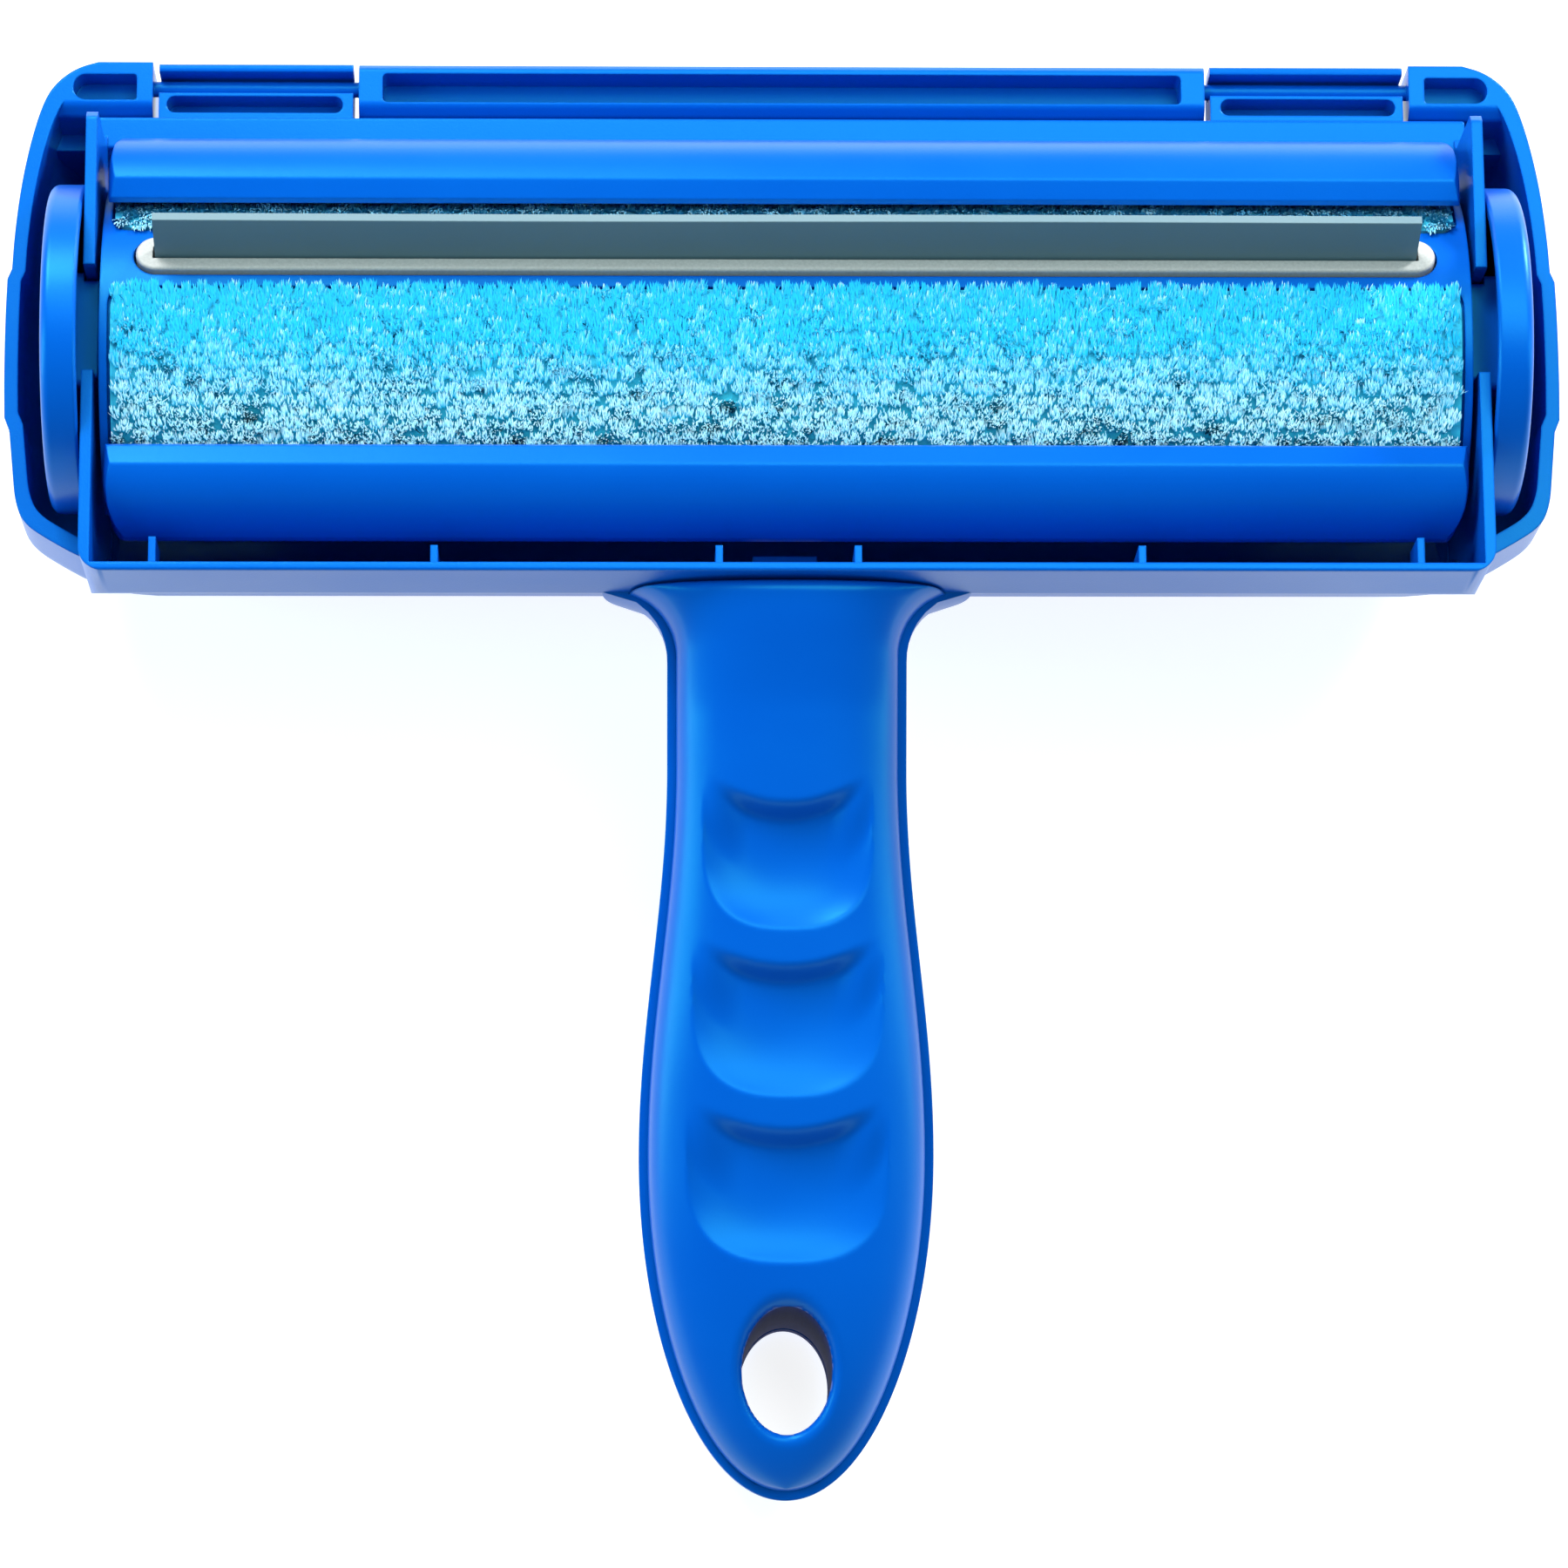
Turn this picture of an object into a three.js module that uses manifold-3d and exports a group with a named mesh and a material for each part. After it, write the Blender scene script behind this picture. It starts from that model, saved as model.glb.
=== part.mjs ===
// Reusable rocking-drum lint roller, in millimetres.
// +X runs along the drum, +Y from the handle's tip to the lid's hinge, and +Z out of the working face.
// The roller lies on the back of its lid, so z = 0 is the surface that it rests on.
import * as THREE from 'three';
import { mergeVertices } from 'three/addons/utils/BufferGeometryUtils.js';
import Module from 'manifold-3d';

const wasm = await Module();
wasm.setup();

// ---------------------------------------------------------------- driving dimensions
const GAP = 0.3; // clearance between pieces that touch
const deg = THREE.MathUtils.degToRad;

// The drum's axis is the origin of the head's own frame.
const AXIS = { y: 51, z: 30 };

const DRUM = { radius: 22.8, inner: 20.4, halfLength: 84.4, rest: deg(20.6) };
const NAP = { outer: 23.6, floor: 22, from: deg(12), to: deg(75), halfLength: 83, corner: 2.2, margin: 0.4 };
const HOLDER = {
  width: 5, halfLength: 80.1, top: 23.5, bottom: 19.6, flange: 1.4, flangeHalfLength: 80.8, flangeHalfWidth: 5,
};
const BLADE = { thickness: 1.2, halfLength: 77.7, tip: 30.5, root: 19 };
const END_PLATE = { inner: 81.4, outer: 82.9, radius: 20.1, journal: 4.3, journalEnd: 88.2 };

const WALL = {
  inner: 85.1, outer: 86.5, bottom: -32.1, top: 31.15, front: 22, back: -10, ring: -2, thickness: 1.1,
};
const SEAT = { halfWidth: 6.6, radius: 4.6 };
const BAR = { halfLength: 84, bore: 24.9, recess: 25.3, lip: deg(38.5), padFrom: deg(44), padTo: deg(62) };
BAR.foot = deg(67);
const STRIPPER = { inner: 24.2, outer: 25, halfLength: 82 };

const CAP = { inner: 84.9, face: 86.8, outer: 88.6, halfWidth: 7.4, height: 17, axle: 2.4, neck: 1.9 };
const WHEEL = { radius: 20.5, rise: 8, inner: 86.8, outer: 91.2, rim: 1.6, web: 1.6, hub: 4.6, fillet: 1.1 };
const CLIP = { radius: 4.2, inner: 91.5, outer: 92.6 };

const LID = { halfWidth: 97.5, thickness: 1.7, rim: 6, middle: -2.3, split: 86.8, partition: 85, low: -27.8 };
const HINGE = { y: 36, z: 3, rod: 1, block: 53.6, corner: 79.6, low: 31.7, high: 38.6 };
const RIBS = { short: [8.5, 43.3], tall: 77.8, halfThickness: 0.45, root: -31.4 };

const HANDLE = { top: 18.9, tip: -89.6, rimZ: 41, rimY: 17, slope: Math.tan(deg(16.2)), wall: 2, ledge: 1.1 };
const HOLE = { y: -75.2, halfWidth: 5.6, halfLength: 8.1 };
const BUTTON = { y: 1, halfWidth: 7, halfLength: 6.5, corner: 3 };
const SCREW = { head: 3, headThickness: 1.9, shank: 1.25, boss: 3.9, places: [-16, -57] };

const PLASTIC = new THREE.Color(0x0a6fe0);
const MATERIALS = {
  casing: new THREE.MeshStandardMaterial({ color: PLASTIC, roughness: 0.38, metalness: 0 }),
  velour: new THREE.MeshStandardMaterial({ color: 0x23bfe6, roughness: 0.95, metalness: 0 }),
  rubber: new THREE.MeshStandardMaterial({ color: 0x5a6f7d, roughness: 0.6, metalness: 0 }),
  holder: new THREE.MeshStandardMaterial({ color: 0xa3a8a6, roughness: 0.5, metalness: 0 }),
  steel: new THREE.MeshStandardMaterial({ color: 0xb8bcc0, roughness: 0.3, metalness: 1 }),
};

// ---------------------------------------------------------------- solids
function solid(geometry) {
  const bare = new THREE.BufferGeometry();
  bare.setAttribute('position', geometry.getAttribute('position').clone());
  if (geometry.index) bare.setIndex(geometry.index.clone());
  const merged = mergeVertices(bare, 1e-4);
  const vertProperties = new Float32Array(merged.getAttribute('position').array);
  const triVerts = new Uint32Array(merged.index.array);
  return new wasm.Manifold(new wasm.Mesh({ numProp: 3, vertProperties, triVerts }));
}

function geometryOf(manifold) {
  const mesh = manifold.getMesh();
  const geometry = new THREE.BufferGeometry();
  geometry.setAttribute('position', new THREE.BufferAttribute(new Float32Array(mesh.vertProperties), 3));
  geometry.setIndex(new THREE.BufferAttribute(new Uint32Array(mesh.triVerts), 1));
  return geometry;
}

const union = (...solids) => solids.reduce((whole, piece) => whole.add(piece));
const cut = (body, ...tools) => tools.reduce((rest, tool) => rest.subtract(tool), body);

function box(x0, x1, y0, y1, z0, z1) {
  const geometry = new THREE.BoxGeometry(x1 - x0, y1 - y0, z1 - z0);
  geometry.translate((x0 + x1) / 2, (y0 + y1) / 2, (z0 + z1) / 2);
  return solid(geometry);
}

// A cylinder along x, y or z from one coordinate to the other.
function cylinder(axis, radius, from, to, [a, b], segments = 32) {
  const geometry = new THREE.CylinderGeometry(radius, radius, to - from, segments);
  const middle = (from + to) / 2;
  if (axis === 'x') geometry.rotateZ(-Math.PI / 2).translate(middle, a, b);
  if (axis === 'y') geometry.translate(a, middle, b);
  if (axis === 'z') geometry.rotateX(Math.PI / 2).translate(a, b, middle);
  return solid(geometry);
}

// An outline of [y, z] points pushed along X.
function alongX(points, x0, x1) {
  const shape = new THREE.Shape(points.map(([y, z]) => new THREE.Vector2(y, z)));
  const geometry = new THREE.ExtrudeGeometry(shape, { depth: x1 - x0, bevelEnabled: false });
  const axes = new THREE.Matrix4().makeBasis(
    new THREE.Vector3(0, 1, 0), new THREE.Vector3(0, 0, 1), new THREE.Vector3(1, 0, 0));
  geometry.applyMatrix4(axes).translate(x0, 0, 0);
  return solid(geometry);
}

// An outline in the XY plane pushed along Z.
function alongZ(shape, z0, z1, curveSegments = 12) {
  const geometry = new THREE.ExtrudeGeometry(shape, { depth: z1 - z0, bevelEnabled: false, curveSegments });
  return solid(geometry.translate(0, 0, z0));
}

function roundedRectangle(x0, x1, y0, y1, radii) {
  const [r00, r10, r11, r01] = radii;
  const shape = new THREE.Shape();
  shape.moveTo(x0 + r00, y0).lineTo(x1 - r10, y0);
  if (r10) shape.absarc(x1 - r10, y0 + r10, r10, -Math.PI / 2, 0);
  shape.lineTo(x1, y1 - r11);
  if (r11) shape.absarc(x1 - r11, y1 - r11, r11, 0, Math.PI / 2);
  shape.lineTo(x0 + r01, y1);
  if (r01) shape.absarc(x0 + r01, y1 - r01, r01, Math.PI / 2, Math.PI);
  shape.lineTo(x0, y0 + r00);
  if (r00) shape.absarc(x0 + r00, y0 + r00, r00, Math.PI, 1.5 * Math.PI);
  return shape;
}

const stadium = (halfLength, halfWidth) =>
  roundedRectangle(-halfLength, halfLength, -halfWidth, halfWidth, Array(4).fill(halfWidth - 0.001));

// A closed skin over a row of matching outlines, each a flat loop of points. flat names the loops' two axes.
function loft(loops, flat) {
  const count = loops[0].length;
  const positions = loops.flat().flatMap((point) => [point.x, point.y, point.z]);
  const index = [];
  for (let row = 0; row + 1 < loops.length; row += 1) {
    for (let i = 0; i < count; i += 1) {
      const a = row * count + i;
      const b = row * count + ((i + 1) % count);
      index.push(a, b, b + count, a, b + count, a + count);
    }
  }
  const outlineOf = (loop) => loop.map((point) => new THREE.Vector2(point[flat[0]], point[flat[1]]));
  const clockwise = THREE.ShapeUtils.isClockWise(outlineOf(loops[0]));
  const cap = (loop, start, keep) => {
    for (const face of THREE.ShapeUtils.triangulateShape(outlineOf(loop), [])) {
      const [p, q, r] = face.map((i) => start + i);
      index.push(...(keep ? [p, q, r] : [p, r, q]));
    }
  };
  cap(loops[0], 0, clockwise);
  cap(loops.at(-1), (loops.length - 1) * count, !clockwise);
  const geometry = new THREE.BufferGeometry();
  geometry.setAttribute('position', new THREE.Float32BufferAttribute(positions, 3));
  geometry.setIndex(index);
  return solid(facingOut(geometry));
}

// Turns a closed skin the right way round when its volume comes out negative.
function facingOut(geometry) {
  const points = geometry.getAttribute('position');
  const index = geometry.index.array;
  const [a, b, c] = [new THREE.Vector3(), new THREE.Vector3(), new THREE.Vector3()];
  let volume = 0;
  for (let i = 0; i < index.length; i += 3) {
    a.fromBufferAttribute(points, index[i]);
    b.fromBufferAttribute(points, index[i + 1]);
    c.fromBufferAttribute(points, index[i + 2]);
    volume += a.dot(b.cross(c));
  }
  if (volume > 0) return geometry;
  for (let i = 0; i < index.length; i += 3) [index[i + 1], index[i + 2]] = [index[i + 2], index[i + 1]];
  return geometry;
}

// Points of an arc about the drum's axis, its angle counted from +Z towards +Y.
function arc(radius, from, to, steps) {
  return Array.from({ length: steps + 1 }, (_, i) => {
    const angle = from + ((to - from) * i) / steps;
    return [radius * Math.sin(angle), radius * Math.cos(angle)];
  });
}

function mirroredX(manifold) {
  return manifold.mirror([1, 0, 0]);
}

// ---------------------------------------------------------------- drum
// The drum is modelled with its blade straight up; its group leans it to the stop.
function drumShell() {
  const quarter = Math.PI / 2;
  const ring = [...arc(DRUM.radius, -quarter, quarter, 36), ...arc(DRUM.inner, quarter, -quarter, 24)];
  const shell = alongX(ring, -DRUM.halfLength, DRUM.halfLength);
  const slot = alongZ(stadium(HOLDER.halfLength + GAP, HOLDER.width / 2 + GAP), 15, 30);
  return cut(shell, slot, napPatch(1, NAP.margin, NAP.floor, 25), napPatch(-1, NAP.margin, NAP.floor, 25));
}

// A curved patch on the drum with rounded corners: a lint pad, or with a margin the recess that holds it.
function napPatch(side, margin, inner, outer) {
  const half = NAP.halfLength + margin;
  const ends = [0, 1, 2, 3].map((i) => {
    const turn = (i / 3) * (Math.PI / 2);
    return [half - NAP.corner * (1 - Math.sin(turn)), NAP.corner * (1 - Math.cos(turn))];
  });
  const row = [...ends.map(([x, pull]) => [-x, pull]).reverse(), ...ends];
  const loops = row.map(([x, pull]) => {
    const from = NAP.from + (pull - margin) / NAP.floor;
    const to = NAP.to - (pull - margin) / NAP.floor;
    const outline = [...arc(outer, from, to, 12), ...arc(inner, to, from, 12)];
    return outline.map(([y, z]) => new THREE.Vector3(x, side * y, z));
  });
  return loft(loops, ['y', 'z']);
}

function bladeHolder() {
  const bar = alongZ(stadium(HOLDER.halfLength, HOLDER.width / 2), HOLDER.bottom - HOLDER.flange, HOLDER.top);
  const flangeTop = HOLDER.bottom - GAP;
  const { flangeHalfLength, flangeHalfWidth } = HOLDER;
  const flangeShape = roundedRectangle(
    -flangeHalfLength, flangeHalfLength, -flangeHalfWidth, flangeHalfWidth, [0, 0, 0, 0]);
  const flange = alongZ(flangeShape, flangeTop - HOLDER.flange, flangeTop);
  const slotHalf = BLADE.thickness / 2 + GAP;
  const slot = box(-BLADE.halfLength - GAP, BLADE.halfLength + GAP, -slotHalf, slotHalf, BLADE.root - GAP, 25);
  return cut(union(bar, flange), slot);
}

function rubberBlade() {
  const half = BLADE.thickness / 2;
  return box(-BLADE.halfLength, BLADE.halfLength, -half, half, BLADE.root, BLADE.tip);
}

function drumEnd() {
  const half = arc(END_PLATE.radius, -Math.PI / 2, Math.PI / 2, 32);
  const plate = alongX(half, END_PLATE.inner, END_PLATE.outer);
  const hub = cylinder('x', END_PLATE.journal + 2.5, END_PLATE.inner, END_PLATE.outer, [0, 0]);
  const journal = cylinder('x', END_PLATE.journal, END_PLATE.inner, END_PLATE.journalEnd, [0, 0]);
  const bore = cylinder('x', END_PLATE.journal - 1.8, 80, 86.5, [0, 0]);
  return cut(union(plate, hub, journal), bore);
}

// ---------------------------------------------------------------- stripper bars
function stripperBar() {
  const crown = new THREE.QuadraticBezierCurve(
    new THREE.Vector2(18.5, 21), new THREE.Vector2(24.4, 19.4), new THREE.Vector2(25.8, 13.6));
  const outline = [
    [15.7, 19.9],
    ...crown.getPoints(8).map((point) => [point.x, point.y]),
    [25.8, 12],
    [25.1, 10.6],
    ...arc(BAR.bore, BAR.foot, BAR.padTo, 1),
    ...arc(BAR.recess, BAR.padTo, BAR.padFrom, 8),
    ...arc(BAR.bore, BAR.padFrom, BAR.lip, 2),
  ];
  const bar = alongX(outline, -BAR.halfLength, BAR.halfLength);
  const ends = roundedRectangle(-BAR.halfLength, BAR.halfLength, 10, 25.8, [1, 1, 3, 3]);
  return bar.intersect(alongZ(ends, -5, 40));
}

function stripperPad() {
  const from = BAR.padFrom + deg(1);
  const to = BAR.padTo - deg(1);
  const outline = [...arc(STRIPPER.outer, from, to, 8), ...arc(STRIPPER.inner, to, from, 8)];
  return alongX(outline, -STRIPPER.halfLength, STRIPPER.halfLength);
}

// ---------------------------------------------------------------- frame with its rear handle shell
// Heights in the head's frame: the bottom wall stands straight, then leans in towards the lid.
const bottomOuter = [[-32.1, 22], [-32.1, 11], [-30.6, 5], [-28.6, -2]];
const bottomInner = bottomOuter.map(([y, z]) => [y + WALL.thickness, z]);

function headRing() {
  const bottom = alongX([...bottomOuter, ...[...bottomInner].reverse()], -WALL.outer, WALL.outer);
  const topWall = box(-WALL.outer, WALL.outer, 27, 28.5, WALL.ring, 6.5);
  const topLedge = box(-WALL.outer, WALL.outer, 27, WALL.top, 4.7, 6.5);
  const ring = union(bottom, topWall, topLedge, sideWall(), mirroredX(sideWall()));
  const corners = roundedRectangle(-WALL.outer, WALL.outer, WALL.bottom, WALL.top, [3, 3, 0.5, 0.5]);
  return ring.intersect(alongZ(corners, -15, 25));
}

function sideWall() {
  const outline = [
    ...bottomOuter, [-24.4, WALL.ring], [-22, WALL.back], [24.4, WALL.back], [28.5, WALL.ring],
    [28.5, 6.5], [26.8, 8], [26.8, 21], [25.8, WALL.front],
  ];
  const wall = alongX(outline, WALL.inner, WALL.outer);
  const notch = box(80, 90, -SEAT.halfWidth, SEAT.halfWidth, 0, 30);
  const seat = cylinder('x', SEAT.radius, 80, 90, [0, 0]);
  return union(cut(wall, notch, seat), rockStop(1), rockStop(-1));
}

// A lug on the side wall that the drum's end plate lands on when the drum has rocked that way.
function rockStop(side) {
  const lean = Math.tan(DRUM.rest);
  const top = (y) => -y * lean - 0.45;
  const outline = [[13, -9], [17, -9], [17, top(17)], [13, top(13)]].map(([y, z]) => [side * y, z]);
  return alongX(side > 0 ? outline : outline.reverse(), END_PLATE.inner, WALL.outer);
}

// Short ribs inside the bottom wall, and two tall ones that reach the lower bar.
function wallRibs() {
  const { halfThickness, root } = RIBS;
  const rib = (x, reach, z0, z1) => box(x - halfThickness, x + halfThickness, root, reach, z0, z1);
  const places = (x) => [-x, x];
  const short = RIBS.short.flatMap(places).map((x) => rib(x, -28.4, 11, 20));
  const tall = places(RIBS.tall).map((x) => rib(x, -26.8, 11, 18));
  return union(...short, ...tall);
}

// The trough that the lid's hinge rod snaps into, with its oval pocket below.
function hingeClip(side) {
  const { y, z } = HINGE;
  const channel = HINGE.rod + GAP;
  const floor = Array.from({ length: 9 }, (_, i) => {
    const angle = Math.PI + (i / 8) * Math.PI;
    return [y - Math.cos(angle) * channel * -1, z + Math.sin(angle) * channel];
  });
  const outline = [
    [30.5, -0.5], [36.4, -0.5], [38.6, 1.6], [38.6, 5.4], [38.1, 6], [y + channel, 6],
    ...floor.reverse(), [y - channel, 6], [30.5, 6],
  ];
  const body = alongX(outline, HINGE.block + 0.7, HINGE.corner - 0.8);
  const pocketShape = roundedRectangle(55.6, 77.8, 31.9, 34.1, Array(4).fill(1));
  const clip = cut(body, alongZ(pocketShape, 2, 10));
  return side > 0 ? clip : mirroredX(clip);
}

// Half the handle's width at its parting plane.
function handleHalfWidth(y) {
  const [neck, belly, bellyY] = [14.8, 18.3, -48.5];
  const flare = { radius: 8, from: HANDLE.top - 8 };
  const straightTo = -2;
  if (y > flare.from) {
    return neck + flare.radius - Math.sqrt(Math.max(0, flare.radius ** 2 - (y - flare.from) ** 2));
  }
  if (y > straightTo) return neck;
  if (y > bellyY) {
    const turn = (Math.PI * (y - straightTo)) / (bellyY - straightTo);
    return neck + (belly - neck) * (0.5 - 0.5 * Math.cos(turn));
  }
  return belly * Math.sqrt(Math.max(0, 1 - ((y - bellyY) / (HANDLE.tip - bellyY)) ** 2));
}

const partingZ = (y) => HANDLE.rimZ - (HANDLE.rimY - y) * HANDLE.slope;

// How much of its full height a shell keeps where it rounds off from one place to the handle's tip.
function tipRounding(y, from) {
  const round = THREE.MathUtils.clamp((from - y) / (from - HANDLE.tip), 0, 1);
  return Math.sqrt(1 - round ** 2);
}

// How far the rear shell goes behind the parting plane, and the front shell in front of it.
function rearDepth(y) {
  return THREE.MathUtils.lerp(13, 16.2, THREE.MathUtils.smoothstep(-y, -10, 55)) * tipRounding(y, -58);
}

function frontHeight(y) {
  return THREE.MathUtils.lerp(7.2, 8, THREE.MathUtils.smoothstep(-y, 10, 40)) * tipRounding(y, -62);
}

// Places along the handle, closer together at the flare and at the tip.
function handleStations(from, to) {
  const [flareEnd, tipStart] = [HANDLE.top - 8, -60];
  const flare = [0, 1, 2, 3, 4].map((i) => THREE.MathUtils.lerp(from, flareEnd, i / 4));
  const sixths = [1, 2, 3, 4, 5, 6].map((i) => i / 6);
  const grip = sixths.map((t) => THREE.MathUtils.lerp(flareEnd, tipStart, t));
  const tip = sixths.map((t) => tipStart + (to - tipStart) * Math.sin(t * (Math.PI / 2)));
  return [...flare, ...grip, ...tip];
}

// Half of a rounded section, closed by its flat side. A hollow carries that past the parting plane by a skirt.
function handleLoop(y, halfWidth, height, base, skirt) {
  const steps = 16;
  const crown = Array.from({ length: steps + 1 }, (_, i) => {
    const angle = (Math.PI * i) / steps;
    const [c, s] = [Math.cos(angle), Math.sin(angle)];
    const x = Math.sign(c) * halfWidth * Math.abs(c) ** 0.8;
    return new THREE.Vector3(x, y, base + height * s ** 0.8);
  });
  if (!skirt) return crown;
  const edge = base - Math.sign(height) * skirt;
  return [...crown, new THREE.Vector3(-halfWidth, y, edge), new THREE.Vector3(halfWidth, y, edge)];
}

function rearSolid(wall, top, tip) {
  return loft(handleStations(top, tip).map((y) => {
    const halfWidth = Math.max(0.4, handleHalfWidth(y) - wall);
    const depth = Math.max(0.3, rearDepth(y) - wall);
    return handleLoop(y, halfWidth, -depth, partingZ(y), wall);
  }), ['x', 'z']);
}

function frontSolid(inset, top, tip) {
  return loft(handleStations(top, tip).map((y) => {
    const halfWidth = Math.max(0.3, handleHalfWidth(y) - HANDLE.ledge - inset);
    const height = Math.max(0.3, frontHeight(y) - inset);
    return handleLoop(y, halfWidth, height, partingZ(y) + GAP, inset);
  }), ['x', 'z']);
}

function ovalHole(grow, z0, z1) {
  const shape = new THREE.Shape();
  shape.absellipse(0, HOLE.y, HOLE.halfWidth + grow, HOLE.halfLength + grow, 0, 2 * Math.PI);
  return alongZ(shape, z0, z1, 12);
}

function rearHandle() {
  const [, , , lowest] = bottomInner;
  const inside = [[-20, 40], ...bottomInner, [lowest[0], -30], [-20, -30]];
  const ringInside = alongX(inside, -40, 40);
  const outer = cut(rearSolid(0, 22.5, HANDLE.tip), ringInside.translate([0, AXIS.y, AXIS.z]));
  const hollow = rearSolid(HANDLE.wall, 18.3, HANDLE.tip + HANDLE.wall);
  const shell = cut(outer, hollow);
  const bosses = SCREW.places.map((y) => {
    return cylinder('z', SCREW.boss, 0, partingZ(y) - 0.5, [0, y], 24).intersect(outer);
  });
  const bores = SCREW.places.map((y) => cylinder('z', SCREW.shank + GAP, -5, 60, [0, y], 20));
  const sinks = SCREW.places.map((y) => {
    const floor = partingZ(y) - rearDepth(y) + 2.6;
    return cylinder('z', SCREW.head + GAP, -5, floor, [0, y], 28);
  });
  const openings = [...bores, ...sinks, ovalHole(0, -5, 60), buttonBlank(GAP, -30, -5)];
  return cut(union(shell, ...bosses), ...openings);
}

function frame() {
  const head = union(headRing(), wallRibs(), hingeClip(1), hingeClip(-1)).translate([0, AXIS.y, AXIS.z]);
  const fingerWindow = box(-4.6, 4.6, HANDLE.top - 2, 24, 29.4, 38.5);
  return cut(union(head, rearHandle()), fingerWindow);
}

// ---------------------------------------------------------------- front handle shell
// Three shallow hollows for the fingers, each a long ellipsoid sunk into the crown.
function fingerDent(y, halfWidth, halfLength) {
  const geometry = new THREE.SphereGeometry(1, 16, 10);
  geometry.scale(halfWidth * 1.12, halfLength * 1.12, 5.2);
  geometry.rotateX(Math.atan(HANDLE.slope));
  geometry.translate(0, y, partingZ(y) + frontHeight(y) + 2.6);
  return solid(geometry);
}

const DENTS = [[-11.3, 10.4, 7.6], [-32.2, 11.7, 8], [-53, 12.4, 8.7]];

function handleFrontShell() {
  const [top, tip] = [HANDLE.top - GAP, HANDLE.tip + HANDLE.ledge];
  const outer = frontSolid(0, top, tip);
  const hollow = frontSolid(HANDLE.wall, top - HANDLE.wall, tip + HANDLE.wall);
  const dents = DENTS.map(([y, halfWidth, halfLength]) => fingerDent(y, halfWidth, halfLength));
  const backs = dents.map((dent) => dent.translate([0, 0, -HANDLE.wall]));
  const shell = union(cut(outer, hollow), ...backs.map((back) => back.intersect(outer)));
  const tube = ovalHole(1.6, partingZ(HOLE.y) - rearDepth(HOLE.y) + 3.4, 40);
  const inside = rearSolid(HANDLE.wall + GAP, 18, HANDLE.tip + HANDLE.wall + GAP);
  const bosses = SCREW.places.map((y) => {
    return cylinder('z', SCREW.boss - 0.6, partingZ(y), 60, [0, y], 24).intersect(outer);
  });
  const bores = SCREW.places.map((y) => {
    const top = partingZ(y) + 4.4;
    return cylinder('z', SCREW.shank + GAP, -5, top, [0, y], 20);
  });
  const springPost = cylinder('z', 1.2, 38, 60, [0, BUTTON.y], 20).intersect(outer);
  const tubeSolid = tube.intersect(union(outer, inside));
  return cut(union(shell, tubeSolid, ...bosses, springPost), ...dents, ...bores, ovalHole(0, -5, 60));
}

// ---------------------------------------------------------------- lid
// Half of the lid's outline in the head's frame, from the top middle round to the bottom middle.
const lidHalf = [
  [0, 31], [79.6, 31], [79.6, 38.6],
  [86.5, 38.6], [89.2, 37.7], [91.4, 36], [93, 33.6], [94.6, 28.5], [95.9, 22.2],
  [96.6, 15.5], [96.8, 11], [97.4, 9.5], [97.5, 0], [97.3, -8.6], [96.7, -10], [96.2, -15], [95.8, -19.4],
  [94.9, -21.8], [91.2, -24], [87.6, -26.2], [84, -27.5], [80, LID.low], [0, LID.low],
];
const LID_CENTRE = 5;
const LID_HALF_HEIGHT = 33.6;

function lidLoop(z, inset) {
  const sx = (LID.halfWidth - inset) / LID.halfWidth;
  const sy = (LID_HALF_HEIGHT - inset) / LID_HALF_HEIGHT;
  const right = lidHalf.map(([x, y]) => [x * sx, LID_CENTRE + (y - LID_CENTRE) * sy]);
  const left = right.slice(1, -1).map(([x, y]) => [-x, y]).reverse();
  return [...right, ...left].map(([x, y]) => new THREE.Vector3(x, y, z));
}

// The lid's wall is upright near its rim and rolls over to a flat back.
function lidDome(thickness, top) {
  const roll = 26 - thickness;
  const [reachX, steps] = [16, 6];
  const loops = [lidLoop(top, thickness)];
  for (let i = 0; i <= steps; i += 1) {
    const angle = (i / steps) * (Math.PI / 2);
    const z = -AXIS.z + thickness + roll * (1 - Math.sin(angle) ** 1.15);
    loops.push(lidLoop(z, thickness + reachX * (1 - Math.cos(angle)) ** 0.9));
  }
  return loft(loops, ['x', 'y']);
}

// The hinge blocks' section, which hangs on the lid's top wall.
const blockSection = [
  [29.6, -14], [33, -12], [37.4, -7.5], [38.6, -5], [38.6, 5.2], [37.8, 6], [33, 6], [31.7, 4.6],
  [31.7, LID.middle], [29.6, LID.middle],
];

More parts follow.
